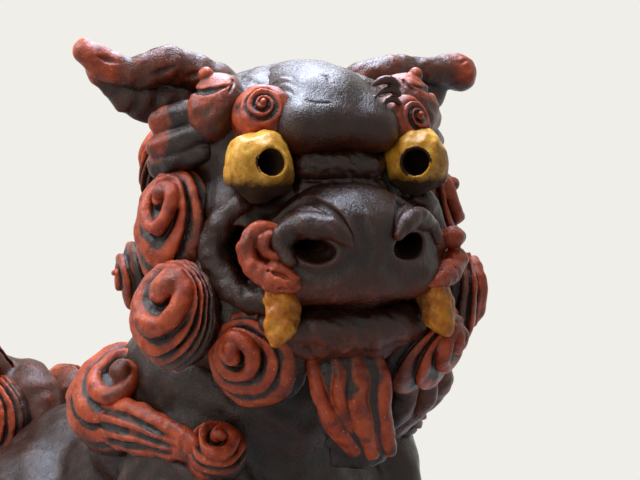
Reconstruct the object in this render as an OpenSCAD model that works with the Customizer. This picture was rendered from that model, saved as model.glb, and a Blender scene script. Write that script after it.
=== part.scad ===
// Guardian lion in fired clay, standing on four legs with its head turned to its right.
// Millimetres. X points to the statue's left, -Y to its front and Z up.
// The origin lies on the ground under the middle of the statue.
// Each piece is pressed onto the pieces laid before it, so it ends where they begin.

/* [Stance] */
// Height of the middle of the head above the ground
head_z = 226; // [214:1:238]
// Distance of the middle of the head ahead of the statue's middle
head_ahead = 76; // [68:1:84]
// Distance of the middle of the head to the statue's right
head_aside = 8; // [2:1:14]
// Turn of the head to the statue's right, degrees
head_turn = 23; // [8:1:32]

/* [Torso] */
// Clay wall of the hollow torso and head
wall = 10; // [7:0.5:13]
// Width of the chest
chest_w = 108; // [98:1:118]
// Depth of the chest from front to back
chest_d = 96; // [88:1:106]
// Height of the chest
chest_h = 108; // [98:1:118]
// Height of the middle of the chest above the ground
chest_z = 115; // [108:1:122]
// Distance of the middle of the chest ahead of the statue's middle
chest_ahead = 41; // [36:1:46]
// Width of the barrel
barrel_w = 92; // [84:1:100]
// Length of the barrel
barrel_l = 124; // [112:1:136]
// Height of the barrel
barrel_h = 84; // [76:1:92]
// Height of the middle of the barrel above the ground
barrel_z = 105; // [100:1:110]
// Width of the rump
rump_w = 96; // [88:1:104]
// Height of the rump
rump_h = 92; // [84:1:100]
// Distance of the middle of the rump behind the statue's middle
rump_back = 62; // [56:1:68]
// Width of the neck
neck_w = 104; // [96:1:112]
// Depth of the neck from front to back
neck_d = 100; // [92:1:108]
// Height of the middle of the neck above the ground
neck_z = 166; // [160:1:172]
// Drop from the middle of the head to the top of the neck
neck_drop = 16; // [10:1:20]
// Width of the hump behind the neck
withers_w = 96; // [88:1:104]
// Width of the opening under the belly
belly_opening_w = 44; // [30:1:52]
// Length of the opening under the belly
belly_opening_l = 84; // [60:1:96]

/* [Legs] */
// Distance of each leg from the statue's middle plane
leg_out = 45; // [40:1:50]
// Distance of the front legs ahead of the statue's middle
front_leg_ahead = 62; // [56:1:68]
// Distance of the hind legs behind the statue's middle
hind_leg_back = 74; // [68:1:80]
// Radius of the front legs
front_leg_r = 24; // [21:0.5:26]
// Radius of the hind legs
hind_leg_r = 22; // [19:0.5:24]
// Width of a paw
paw_w = 52; // [46:1:58]
// Length of a paw without its toes
paw_l = 56; // [50:1:62]
// Height of a paw
paw_h = 27; // [23:1:31]
// Radius of a toe
toe_r = 9; // [8:0.5:10]

/* [Head] */
// Width of the skull
skull_w = 84; // [78:1:90]
// Depth of the skull from front to back
skull_d = 80; // [74:1:86]
// Height of the skull
skull_h = 80; // [74:1:86]
// Width of the crown between the ears
crown_w = 92; // [86:1:98]
// Width of the mane's core behind the face
mane_w = 104; // [98:1:110]
// Height of the mane's core
mane_h = 108; // [100:1:116]
// Width of the jaw under the snout
jaw_w = 84; // [78:1:90]
// Width across the jowls
jowl_span = 109; // [102:1:116]

/* [Face] */
// Diameter of an eye bead
eye_d = 24; // [21:0.5:27]
// Distance between the middles of the eyes
eye_gap = 58; // [54:1:62]
// Height of the eyes over the middle of the head
eye_up = 29; // [26:0.5:32]
// Diameter of the pupil hole
pupil_d = 8.6; // [6:0.2:11]
// Depth of the pupil hole
pupil_deep = 9; // [5:0.5:12]
// Turn of the right pupil towards the nose, degrees
right_pupil_turn = 4; // [-10:1:30]
// Turn of the left pupil towards the nose, degrees
left_pupil_turn = 29; // [-10:1:40]
// Width of the brow slab
brow_w = 50; // [44:1:56]
// Height of the brow's front edge over the middle of the head
brow_up = 41; // [39:0.5:44]
// Reach of the brow's front edge ahead of the middle of the head
brow_ahead = 29; // [27:0.5:31]
// Length of the bar between the eyes
bridge_l = 34; // [28:1:40]
// Radius of the bar between the eyes
bridge_r = 5.5; // [4.5:0.25:6.5]
// Width of the snout
snout_w = 62; // [56:1:68]
// Reach of the snout ahead of the middle of the head
snout_ahead = 60; // [57:0.5:63]
// Radius of the upper lip
upper_lip_r = 8; // [7:0.25:9]
// Width of a nostril hole
nostril_w = 9; // [6:0.5:11]
// Height of a nostril hole
nostril_h = 6; // [4:0.5:7.5]
// Radius of the coil over a nostril
nostril_rim_r = 3.4; // [2.6:0.2:4.2]
// Radius of the coil round a corner of the mouth
lip_roll_r = 5; // [4:0.25:6]
// Radius of the lower lip
lower_lip_r = 6.5; // [5.5:0.25:7.5]
// Radius of the tongue's edge between the lips
tongue_r = 2; // [1.4:0.2:2.6]
// Length of a fang below its root
fang_l = 17; // [14:0.5:20]
// Radius of a fang at its thickest
fang_r = 5.4; // [4.4:0.2:6.2]

/* [Ears] */
// Reach of an ear out from its root
ear_l = 40; // [32:1:46]
// Radius of an ear at its root
ear_root_r = 12.5; // [11:0.5:14]
// Radius of an ear at its tip
ear_tip_r = 6; // [5:0.5:7]
// Rise of the ear's tip over its root
ear_rise = 10; // [2:1:16]

/* [Curls] */
// Width of the groove cut round a curl, as a share of the curl's radius
groove_share = 0.28; // [0.2:0.01:0.32]
// Turns of the groove round a curl
curl_turns = 1.6; // [1.2:0.1:2]
// Radius of the knob in a curl's middle, as a share of the curl's radius
knob_share = 0.27; // [0.2:0.01:0.34]
// Radius of a brow curl
brow_curl_r = 10.5; // [9:0.5:12]
// Radius of a temple curl
temple_curl_r = 10; // [8.5:0.5:11.5]
// Radius of a moustache curl
moustache_curl_r = 8.5; // [7:0.5:10]
// Radius of a cheek curl
cheek_curl_r = 13.5; // [12:0.5:15]
// Radius of a jowl curl
jowl_curl_r = 17; // [15:0.5:19]
// Radius of a chin curl
chin_curl_r = 15.5; // [14:0.5:17]
// Radius of the other curls of the mane
mane_curl_r = 15; // [13:0.5:17]
// Radius of a withers curl
withers_curl_r = 21; // [19:0.5:23]
// Radius of a shoulder curl
shoulder_curl_r = 11; // [9:0.5:13]
// Radius of a haunch curl
haunch_curl_r = 18; // [16:0.5:20]
// Radius of a tail curl
tail_curl_r = 19; // [17:0.5:21]

/* [Beard and tufts] */
// Length of the beard
beard_l = 38; // [30:1:44]
// Width of the beard
beard_w = 29; // [24:1:33]
// Number of strands in the beard
beard_strands = 5; // [3:1:6]
// Number of strands in a shoulder tuft
tuft_strands = 4; // [3:1:5]
// Radius of a strand of the shoulder tuft
tuft_strand_r = 4.6; // [3.8:0.2:5.4]

/* [Tail] */
// Height of the tail's tip over its root
tail_h = 96; // [80:1:110]
// Radius of the tail at its thickest
tail_r = 17; // [14:0.5:20]

/* [Hidden] */
slip = [0.20, 0.17, 0.16];
terracotta = [0.62, 0.27, 0.17];
ochre = [0.72, 0.52, 0.18];
carrier_facets = 16;
pebble_facets = 12;
hollow_facets = 12;
curl_facets = 10;
roll_sides = 8;
strand_sides = 5;
roll_steps = 2;
groove_steps = 7;
out_of_sight = 200;

// Carriers, each [middle, half sizes]. Those of the head lie in the head's own frame.
SKULL = [[0, 6, 20], [skull_w, skull_d, skull_h] / 2];
CROWN = [[0, 8, 36], [crown_w / 2, 36, 27]];
MANE = [[0, 20, -2], [mane_w / 2, 42, mane_h / 2]];
MUZZLE = [[0, -24, -4], [34, 30, 24]];
JAW = [[0, -12, -28], [jaw_w / 2, 30, 18]];
CHEEK = [[-32, -8, 4], [11, 22, 22]];
JOWL = [[20 - jowl_span / 2, -4, -20], [20, 26, 24]];
NECK = [[0, -head_ahead / 2, neck_z], [neck_w / 2, neck_d / 2, head_z - neck_drop - neck_z]];
WITHERS = [[0, 33 - chest_ahead, chest_z + 33], [withers_w / 2, 44, 34]];
CHEST = [[0, -chest_ahead, chest_z], [chest_w, chest_d, chest_h] / 2];
BARREL = [[0, 12, barrel_z], [barrel_w, barrel_l, barrel_h] / 2];
RUMP = [[0, rump_back, barrel_z - 5], [rump_w / 2, 42, rump_h / 2]];
SHOULDER = [[12 - chest_w / 2, -chest_ahead - 8, chest_z + 7], [22, 34, 42]];
HAUNCH = [[10 - rump_w / 2, rump_back - 2, barrel_z - 17], [24, 36, 44]];
TAIL_LOBE = [[-4, rump_back + 46, barrel_z + 29], [15, 22, 24]];

// Curls of the mane on the head's right: name, carrier, angle round it, angle up it, radius, height, tallness, spin.
HEAD_CURLS = [
    ["brow_curl", CROWN, -34, 18, brow_curl_r, 11, 1, 20],
    ["temple_curl", CROWN, -60, 26, temple_curl_r, 10, 1.2, 60],
    ["cheek_curl", MANE, -62, 9, cheek_curl_r, 13, 1.45, 100],
    ["jowl_curl", JOWL, -66, -5, jowl_curl_r, 12.5, 1, 150],
    ["chin_curl", JAW, -50, -20, chin_curl_r, 12, 0.95, 110],
    ["ear_curl", CROWN, -88, 4, mane_curl_r * 0.8, 11, 1.05, 40],
    ["mane_side_curl", MANE, -101, -13, mane_curl_r * 0.95, 13, 1.05, 80],
    ["mane_high_curl", MANE, -128, 30, mane_curl_r, 13, 1.1, 200],
    ["mane_low_curl", MANE, -138, -14, mane_curl_r, 13, 1.1, 300]];
// Curls in the middle of the mane's back, laid out in the same way.
NAPE_CURLS = [
    ["crest_curl", MANE, 180, 50, mane_curl_r, 12, 1, 0],
    ["nape_curl", MANE, 180, 10, mane_curl_r * 1.05, 13, 1, 90]];
SIDES = [-1, 1];
function sided(side, part) = str(side < 0 ? "right_" : "left_", part);
PAIRED = concat(["eye", "fang", "nostril_rim", "lip_roll", "moustache_curl", "ear"],
    [for (c = HEAD_CURLS) c[0]],
    ["withers_curl", "shoulder_curl", "shoulder_tuft", "haunch_curl", "tail_curl",
     "front_leg", "hind_leg", "front_paw", "hind_paw"]);

function unit(v) = v / norm(v);
function xyz(p) = [p[0], p[1], p[2]];
function between(a, b, t) = a + (b - a) * t;
// A point of a smooth line through four points, with the radius as fourth number.
function bend(a, b, c, d, t) =
    (2 * b + (c - a) * t + (2 * a - 5 * b + 4 * c - d) * t * t + (3 * b - a - 3 * c + d) * t * t * t) / 2;
function smooth(p, steps = roll_steps) = let (n = len(p) - 1) concat(
    [for (i = [0 : n - 1]) for (k = [0 : steps - 1])
        bend(p[max(i - 1, 0)], p[i], p[i + 1], p[min(i + 2, n)], k / steps)], [p[n]]);
function heading(p, i) = unit(xyz(p[min(i + 1, len(p) - 1)]) - xyz(p[max(i - 1, 0)]));
function rounded(p) = let (n = len(p) - 1) concat(
    [concat(xyz(p[0]) - heading(p, 0) * p[0][3] * 0.6, [p[0][3] * 0.8])], p,
    [concat(xyz(p[n]) + heading(p, n) * p[n][3] * 0.6, [p[n][3] * 0.8])]);
function seat_point(c, round, up) =
    c[0] + [c[1].x * cos(up) * sin(round), -c[1].y * cos(up) * cos(round), c[1].z * sin(up)];
function seat_normal(c, round, up) =
    unit([cos(up) * sin(round) / c[1].x, -cos(up) * cos(round) / c[1].y, sin(up) / c[1].z]);
function shrunk(c, by) = [c[0], c[1] - [by, by, by]];

// A lump of clay with three half sizes.
module pebble(c, facets = pebble_facets) {
    translate(c[0]) hull() scale(c[1]) sphere(r = 1, $fn = facets);
}

// A lump pressed flat on the ground.
module footed(c, facets) {
    hull() difference() {
        translate(c[0]) scale(c[1]) sphere(r = 1, $fn = facets);
        translate([0, 0, -out_of_sight]) cube(out_of_sight * 2, center = true);
    }
}

// A rolled coil through points [x, y, z, radius], with rounded ends. The ring's second axis leans to up.
module roll(points, up = [0, 0, 1], flat = 1, sides = roll_sides) {
    p = rounded(points);
    n = len(p);
    rings = [for (i = [0 : n - 1])
        let (t = heading(p, i), a = unit(cross(up, t)), b = cross(t, a))
        for (j = [0 : sides - 1])
            let (w = 360 * j / sides) xyz(p[i]) + p[i][3] * (cos(w) * a + sin(w) * flat * b)];
    last = len(points) - 1;
    ends = [xyz(points[0]) - heading(points, 0) * points[0][3],
        xyz(points[last]) + heading(points, last) * points[last][3]];
    tail_end = n * sides;
    walls = [for (i = [0 : n - 2]) for (j = [0 : sides - 1])
        let (k = (j + 1) % sides, q = i * sides)
        each [[q + j, q + sides + j, q + sides + k], [q + j, q + sides + k, q + k]]];
    caps = [for (j = [0 : sides - 1]) let (k = (j + 1) % sides, q = (n - 1) * sides)
        each [[tail_end, j, k], [tail_end + 1, q + k, q + j]]];
    polyhedron(concat(rings, ends), concat(walls, caps));
}

// Lays a piece on a carrier: Z outwards, Y as far up as the surface lets it.
module seated(c, round, up) {
    n = seat_normal(c, round, up);
    x = unit(cross([0, 0, 1], n));
    y = cross(n, x);
    o = seat_point(c, round, up);
    multmatrix([[x.x, y.x, n.x, o.x], [x.y, y.y, n.y, o.y], [x.z, y.z, n.z, o.z]]) children();
}

// A rolled-up curl of the mane: a mound with a knob and a spiral groove cut clockwise round it.
module curl(r, h, tall = 1, spin = 0) {
    inner = knob_share + groove_share / 2;
    outer = 0.93;
    path = [for (i = [0 : groove_steps * curl_turns])
        let (t = i / (groove_steps * curl_turns), q = between(inner, outer, t), w = -360 * curl_turns * t)
        [r * q * cos(w), r * q * sin(w), h * sqrt(1 - q * q) * 0.93,
         groove_share * r * between(0.4, 0.5, t)]];
    multmatrix([[1, 0, 0, 0], [0, tall, 0, 0], [0, 0, 1, 0]]) rotate(spin) {
        difference() {
            pebble([[0, 0, 0], [r, r, h]], curl_facets);
            roll(path, [0, 0, 1], 1, 4);
        }
        pebble([[0, 0, h * 0.72], [r, r, h * 1.5] * knob_share], 6);
    }
}

module curl_of(c) {
    seated(c[1], c[2], c[3]) curl(c[4], c[5], c[6], c[7]);
}

// The head's own frame, and the mirrored half of a frame.
module on_head() {
    translate([-head_aside, -head_ahead, head_z]) rotate(-head_turn) children();
}
module on_side(side) {
    mirror([side > 0 ? 1 : 0, 0, 0]) children();
}
module pair() {
    for (s = SIDES) on_side(s) children();
}

// Forms before they are pressed together.
module torso_form() {
    for (c = [[NECK, CHEST], [NECK, WITHERS], [CHEST, BARREL], [BARREL, RUMP]]) hull() {
        pebble(c[0], carrier_facets);
        pebble(c[1], carrier_facets);
    }
    pair() pebble(SHOULDER, carrier_facets);
    pair() pebble(HAUNCH, carrier_facets);
}
module head_form() {
    on_head() {
        for (c = [SKULL, CROWN, MANE, MUZZLE, JAW]) pebble(c, carrier_facets);
        pair() pebble(CHEEK, carrier_facets);
        pair() pebble(JOWL, carrier_facets);
    }
}
module brow_form() {
    lobe = [9, 10, 8.5];
    on_head() hull() {
        pebble([[0, 2, brow_up + 6], [brow_w / 2 - 1, 30, 18]]);
        pair() pebble([[lobe.x - brow_w / 2, -brow_ahead, brow_up], lobe]);
    }
}
module bridge_form() {
    half = bridge_l / 2 - bridge_r;
    on_head() {
        roll(smooth([[-half, -31, 28, bridge_r], [0, -32.5, 28, bridge_r], [half, -31, 28, bridge_r]]));
        roll(smooth([[-half, -31, 21, 4.5], [0, -33.5, 21, 4.5], [half, -31, 21, 4.5]]));
    }
}
module snout_form() {
    half = snout_w / 2 - 5;
    on_head() {
        hull() {
            pebble([[0, 22 - snout_ahead, 2], [snout_w / 2, 22, 16]], carrier_facets);
            pebble([[0, upper_lip_r + 2 - snout_ahead, -8], [half, upper_lip_r, upper_lip_r]]);
            pair() pebble([[upper_lip_r - half - 5, 18 - snout_ahead, -8], [1, 1, 1] * upper_lip_r]);
        }
        pebble([[0, 24 - snout_ahead, 9], [22, 21, 13]], carrier_facets);
    }
}
module nostril_holes() {
    on_head() pair() translate([-16.5, 6.5 - snout_ahead, 4.5]) rotate([12, 0, -18])
        pebble([[0, 0, 0], [nostril_w / 2, 9, nostril_h / 2]], 12);
}
module nostril_rim_form(side) {
    r = nostril_rim_r;
    front = 3.5 - snout_ahead;
    on_head() on_side(side) roll(smooth([[-27, front + 10, 5, r * 0.8], [-24, front + 5, 10.5, r],
        [-17, front + 1, 12.5, r], [-10, front, 9.5, r], [-7.5, front, 5, r * 0.7]]), [0.1, -1, 0.2]);
}
module lower_jaw_form() {
    on_head() {
        roll(smooth([[-26, -38, -25, lower_lip_r - 1], [-15, -46, -25, lower_lip_r],
            [0, -48.5, -25, lower_lip_r], [15, -46, -25, lower_lip_r], [26, -38, -25, lower_lip_r - 1]]));
        pebble([[0, -34, -31], [25, 15, 10]]);
    }
}
module tongue_form() {
    on_head() roll(smooth([[-19, -42, -16.5, tongue_r], [0, -47.5, -16.5, tongue_r],
        [19, -42, -16.5, tongue_r]]), [0, 0, 1], 1.3, 6);
}
module lip_roll_form(side) {
    r = lip_roll_r;
    on_head() on_side(side) roll(smooth([[-35, -24, 15, r * 0.8], [-41, -20, 9, r], [-44, -19, 0, r],
        [-42, -23, -9, r], [-36, -31, -15, r], [-28, -41, -17, r * 0.8]]), [0.3, -1, 0]);
}
module eye_form(side) {
    turn = side < 0 ? right_pupil_turn : left_pupil_turn;
    on_head() on_side(side) translate([-eye_gap / 2, SKULL[0].y - 0.92 * skull_d / 2, eye_up]) difference() {
        hull() sphere(d = eye_d, $fn = 14);
        rotate([90, 0, turn]) rotate([6, 0, 0])
            translate([0, 0, eye_d / 2 - pupil_deep]) cylinder(d = pupil_d, h = eye_d, $fn = 12);
    }
}
module fang_form(side) {
    on_head() on_side(side) roll(smooth([[-26, -46, -9, fang_r * 0.8], [-27.5, -49, -18, fang_r],
        [-30, -52.5, -9 - fang_l, fang_r * 0.5]]), [0, -1, 0.2]);
}
module moustache_form(side) {
    r = moustache_curl_r;
    on_head() on_side(side) {
        seated(MUZZLE, -66, 14) curl(r, 14, 1.15, 200);
        roll(smooth([[-33, -42, -5, r * 0.5], [-29, -48, -9, r * 0.45], [-22, -53, -11, r * 0.25]]), [0, 0, 1], 1, strand_sides);
    }
}
module ear_form(side) {
    middle = [-48, 17, 56, ear_root_r * 0.95];
    tip = [-34 - ear_l, 19, 55 + ear_rise, ear_tip_r];
    on_head() on_side(side) difference() {
        roll(smooth([[-32, 17, 52, ear_root_r], middle, between(middle, tip, 0.55) - [0, 0, 2, -0.5], tip]),
            [0, 0, 1], 0.9, 10);
        for (lift = [-4, 3]) roll(smooth([[-40, 5.5, 54 + lift, 2.2], [-54, 6, 56 + lift, 2.2],
            [-66, 11, 60 + lift, 1.4]]), [0, 0, 1], 1, 4);
    }
}
module head_curl_form(i, side) {
    on_head() on_side(side) curl_of(HEAD_CURLS[i]);
}
module nape_curl_form(i) {
    on_head() curl_of(NAPE_CURLS[i]);
}
module withers_curl_form(side) {
    on_side(side) seated(WITHERS, -82, 32) curl(withers_curl_r, 14, 0.95, 130);
}
module shoulder_curl_form(side) {
    on_side(side) seated(SHOULDER, -20, 48) curl(shoulder_curl_r, 11, 1, 60);
}
module shoulder_tuft_form(side) {
    root = seat_point(SHOULDER, -60, 46);
    tip = seat_point(WITHERS, -80, 12) + [-9, 0, 0];
    on_side(side) for (i = [0 : tuft_strands - 1]) {
        fan = (i / (tuft_strands - 1) - 0.5) * 2;
        middle = between(root, tip, 0.5) + [-5, 0, 1] + fan * [3, 3, 8];
        roll(smooth([concat(root + fan * [1, 1, 5], [tuft_strand_r * 0.8]), concat(middle, [tuft_strand_r * 1.25]),
            concat(tip + fan * [0, -2, 4], [tuft_strand_r * 0.5])]), [1, 0, 0.2], 1, strand_sides);
    }
}
module haunch_curl_form(side) {
    on_side(side) seated(HAUNCH, -88, 20) curl(haunch_curl_r, 12, 1, 30);
}
module tail_form() {
    root = [0, rump_back + 34, barrel_z + 11];
    pebble(TAIL_LOBE);
    bends = [[0, 0, 0, 0.9], [-4, 18, 0.16, 1], [-17, 24, 0.34, 0.9], [-33, 24, 0.62, 0.65], [-40, 34, 1, 0.25]];
    roll(smooth([for (b = bends) concat(root + [b[0], b[1], b[2] * tail_h], [b[3] * tail_r])]), [1, 0, 0], 0.9, 10);
}
module tail_curl_form(side) {
    on_side(side) seated(TAIL_LOBE, -90, 0) curl(tail_curl_r, 12, 1, 70);
}
module leg_form(front, side) {
    y = front ? -front_leg_ahead : hind_leg_back;
    r = front ? front_leg_r : hind_leg_r;
    knee = front ? [-leg_out, y - 2, 55, r] : [-leg_out, y + 10, 50, r * 0.95];
    hip = front ? CHEST[0].z - 15 : RUMP[0].z;
    on_side(side) roll(smooth([[-leg_out + 3, y + (front ? 5 : -8), hip, r * 1.02], knee,
        [-leg_out, y, r * 0.92 + 3, r * 0.92]]), [0, 1, 0], 1, 10);
}
module paw_form(front, side) {
    y = (front ? -front_leg_ahead : hind_leg_back) - paw_l * 0.2;
    on_side(side) {
        footed([[-leg_out, y, paw_h * 0.4], [paw_w / 2, paw_l / 2, paw_h * 0.6]], pebble_facets);
        for (i = [-1.5 : 1 : 1.5]) {
            reach = y - paw_l * (0.36 - 0.035 * i * i);
            footed([[i * paw_w * 0.22 - leg_out, reach, toe_r], [toe_r * 0.8, toe_r * 1.5, toe_r * 1.3]], 8);
        }
    }
}
module beard_form() {
    on_head() for (i = [0 : beard_strands - 1]) {
        fan = i / (beard_strands - 1) - 0.5;
        r = beard_w / beard_strands * 0.62;
        roll(smooth([[fan * beard_w, -43 + 10 * fan * fan, -34, r * 0.8],
            [fan * beard_w * 0.85 + 1, -47 + 8 * fan * fan, -34 - beard_l * 0.35, r * 1.05],
            [fan * beard_w * 0.7 + 5, -45 + 6 * fan * fan, -34 - beard_l * 0.7, r],
            [fan * beard_w * 0.6 + 7, -42, -34 - beard_l, r * 0.6]]), [0, -1, 0], 1, strand_sides);
    }
}

// The hollow inside, open under the belly and from the neck into the head.
module hollow() {
    for (c = [[NECK, CHEST], [CHEST, BARREL], [BARREL, RUMP]]) hull() {
        pebble(shrunk(c[0], wall), hollow_facets);
        pebble(shrunk(c[1], wall), hollow_facets);
    }
    on_head() for (c = [SKULL, MANE]) pebble(shrunk(c, wall), hollow_facets);
    half = (belly_opening_l - belly_opening_w) / 2;
    hull() for (s = SIDES) translate([0, BARREL[0].y + 8 + s * half, 0])
        cylinder(d = belly_opening_w, h = BARREL[0].z, $fn = 20);
}

// Pieces of one layer that later pieces are pressed onto.
module face_forms() {
    brow_form();
    bridge_form();
    snout_form();
    lower_jaw_form();
    for (s = SIDES) {
        eye_form(s);
        lip_roll_form(s);
        fang_form(s);
    }
}
module head_curl_forms(before, side) {
    if (before > 0) for (k = [0 : before - 1]) head_curl_form(k, side);
}
module all_head_curl_forms() {
    for (s = SIDES) head_curl_forms(len(HEAD_CURLS), s);
    for (k = [0 : len(NAPE_CURLS) - 1]) nape_curl_form(k);
}

module torso_shell() {
    color(slip) difference() {
        torso_form();
        hollow();
    }
}
module head_shell() {
    color(slip) difference() {
        head_form();
        torso_form();
        hollow();
    }
}
module brow_slab() {
    color(slip) difference() {
        brow_form();
        head_form();
    }
}
module bridge_bar() {
    color(slip) difference() {
        bridge_form();
        head_form();
        brow_form();
        snout_form();
    }
}
module snout() {
    color(slip) difference() {
        snout_form();
        head_form();
        nostril_holes();
    }
}
module lower_jaw() {
    color(slip) difference() {
        lower_jaw_form();
        head_form();
        torso_form();
        snout_form();
    }
}
module tongue() {
    color(terracotta) difference() {
        tongue_form();
        head_form();
        snout_form();
        lower_jaw_form();
    }
}
module lip_roll(side) {
    color(slip) difference() {
        lip_roll_form(side);
        head_form();
        snout_form();
        lower_jaw_form();
    }
}
module eye(side) {
    color(ochre) difference() {
        eye_form(side);
        head_form();
        brow_form();
        bridge_form();
        snout_form();
    }
}
module fang(side) {
    color(ochre) difference() {
        fang_form(side);
        head_form();
        snout_form();
        lower_jaw_form();
        tongue_form();
        lip_roll_form(side);
    }
}
module nostril_rim(side) {
    color(slip) difference() {
        nostril_rim_form(side);
        head_form();
        snout_form();
        nostril_holes();
    }
}
module moustache_curl(side) {
    color(terracotta) difference() {
        moustache_form(side);
        head_form();
        face_forms();
        nostril_rim_form(side);
        nostril_holes();
    }
}
module ear(side) {
    color(slip) difference() {
        ear_form(side);
        head_form();
        brow_form();
    }
}
module head_curl(i, side) {
    color(terracotta) difference() {
        head_curl_form(i, side);
        head_form();
        torso_form();
        face_forms();
        moustache_form(side);
        ear_form(side);
        head_curl_forms(i, side);
    }
}
module nape_curl(i) {
    color(terracotta) difference() {
        nape_curl_form(i);
        head_form();
        torso_form();
        brow_form();
        for (s = SIDES) head_curl_forms(len(HEAD_CURLS), s);
        if (i > 0) nape_curl_form(i - 1);
    }
}
module beard() {
    color(terracotta) difference() {
        beard_form();
        head_form();
        torso_form();
        lower_jaw_form();
        for (s = SIDES) head_curl_forms(len(HEAD_CURLS), s);
    }
}
module withers_curl(side) {
    color(terracotta) difference() {
        withers_curl_form(side);
        torso_form();
        head_form();
        all_head_curl_forms();
    }
}
module shoulder_curl(side) {
    color(terracotta) difference() {
        shoulder_curl_form(side);
        torso_form();
        all_head_curl_forms();
        beard_form();
    }
}
module shoulder_tuft(side) {
    color(terracotta) difference() {
        shoulder_tuft_form(side);
        torso_form();
        all_head_curl_forms();
        withers_curl_form(side);
        shoulder_curl_form(side);
    }
}
module haunch_curl(side) {
    color(terracotta) difference() {
        haunch_curl_form(side);
        torso_form();
        leg_form(false, side);
    }
}
module tail() {
    color(slip) difference() {
        tail_form();
        torso_form();
    }
}
module tail_curl(side) {
    color(terracotta) difference() {
        tail_curl_form(side);
        torso_form();
        tail_form();
        haunch_curl_form(side);
    }
}
module leg(front, side) {
    color(slip) difference() {
        leg_form(front, side);
        torso_form();
        paw_form(front, side);
    }
}
module paw(front, side) {
    color(slip) paw_form(front, side);
}

torso_shell();
head_shell();
brow_slab();
bridge_bar();
snout();
lower_jaw();
tongue();
beard();
tail();
for (i = [0 : len(NAPE_CURLS) - 1])
    nape_curl(i);
for (s = SIDES) {
    eye(s);
    fang(s);
    nostril_rim(s);
    lip_roll(s);
    moustache_curl(s);
    ear(s);
    for (i = [0 : len(HEAD_CURLS) - 1])
        head_curl(i, s);
    withers_curl(s);
    shoulder_curl(s);
    shoulder_tuft(s);
    haunch_curl(s);
    tail_curl(s);
    leg(true, s);
    leg(false, s);
    paw(true, s);
    paw(false, s);
}
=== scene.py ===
"""Guardian lion in fired clay: every piece is shaped as soft clay, meshed, and dressed in wiped slip.

Forms are worked out in millimetres, in the part's own frame: X to the statue's left, -Y to its front,
Z up. The pieces of the head lie in the head's frame, which is turned to the statue's right.
"""
import logging
import math
from abc import ABC, abstractmethod
from dataclasses import dataclass, field, replace
from enum import Enum
from typing import Callable

import bpy
import numpy as np
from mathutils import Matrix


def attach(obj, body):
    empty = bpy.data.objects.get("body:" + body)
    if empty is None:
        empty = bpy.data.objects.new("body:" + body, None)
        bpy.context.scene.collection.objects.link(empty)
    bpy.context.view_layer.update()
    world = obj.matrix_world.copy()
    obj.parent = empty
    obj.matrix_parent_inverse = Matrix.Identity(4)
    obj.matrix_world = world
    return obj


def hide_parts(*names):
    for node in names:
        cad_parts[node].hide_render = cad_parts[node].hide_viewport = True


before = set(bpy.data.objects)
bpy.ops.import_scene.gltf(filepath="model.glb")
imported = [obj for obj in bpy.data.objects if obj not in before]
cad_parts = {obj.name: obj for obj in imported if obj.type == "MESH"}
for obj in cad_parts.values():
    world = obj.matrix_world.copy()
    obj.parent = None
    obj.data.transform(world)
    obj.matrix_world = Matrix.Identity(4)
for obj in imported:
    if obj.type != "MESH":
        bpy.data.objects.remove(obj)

import openvdb
from mathutils import Matrix

LOG = logging.getLogger("guardian_lion")
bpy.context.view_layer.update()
MM = 0.001
TINY = 1e-9
ROOT_BODY = "root"

Triple = tuple[float, float, float]
Line = tuple[tuple[float, float, float, float], ...]
Points = np.ndarray
Gaps = np.ndarray
Box = tuple[np.ndarray, np.ndarray]
Paint = Callable[[Points], np.ndarray]
Kneading = tuple[float, float, int]


class Side(Enum):
    """The statue's own sides; forms are drawn for the right one, where x is negative."""

    RIGHT = "right"
    LEFT = "left"

    def named(self, part: str) -> str:
        """Gives a piece of this side its name."""
        return f"{self.value}_{part}"

    def mirror(self) -> np.ndarray:
        """Gives the axes that carry a right-hand form to this side."""
        return np.diag([1.0 if self is Side.RIGHT else -1.0, 1.0, 1.0])

    def of(self, place: "Place") -> "Place":
        """Gives a frame as it is on this side."""
        return place.within(self.mirror())

    def seed(self, number: int) -> int:
        """Gives a seed of this side's own for what a hand does by chance."""
        return number + len(self.value)


class Pair(Enum):
    """The two pairs of legs."""

    FRONT = "front"
    HIND = "hind"


class Slot(Enum):
    """Material slots of the part's record."""

    SLIP = "dark_slip_clay"
    WIPED = "wiped_terracotta"
    OCHRE = "ochre_clay"


def turned(about_x: float = 0.0, about_y: float = 0.0, about_z: float = 0.0) -> np.ndarray:
    """Builds a rotation from turns about X, then Y, then Z.

    Args:
        about_x: Degrees about X.
        about_y: Degrees about Y.
        about_z: Degrees about Z.

    Returns:
        The 3 x 3 rotation.
    """
    a, b, c = (math.radians(v) for v in (about_x, about_y, about_z))
    rx = np.array([[1, 0, 0], [0, math.cos(a), -math.sin(a)], [0, math.sin(a), math.cos(a)]])
    ry = np.array([[math.cos(b), 0, math.sin(b)], [0, 1, 0], [-math.sin(b), 0, math.cos(b)]])
    rz = np.array([[math.cos(c), -math.sin(c), 0], [math.sin(c), math.cos(c), 0], [0, 0, 1]])
    return rz @ ry @ rx


@dataclass(frozen=True)
class Place:
    """A frame that a piece is drawn in: its axes as columns, and its origin."""

    axes: np.ndarray
    at: np.ndarray

    def within(self, axes: np.ndarray, at: Triple = (0.0, 0.0, 0.0)) -> "Place":
        """Gives a frame that lies inside this one."""
        return Place(self.axes @ axes, self.axes @ np.asarray(at, float) + self.at)

    def out(self, p: Points) -> Points:
        """Carries points from this frame to the statue's."""
        return p @ self.axes.T + self.at


STATUE = Place(np.eye(3), np.zeros(3))
HEAD = Place(turned(about_z=-23.0), np.array([-8.0, -76.0, 226.0]))


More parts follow.
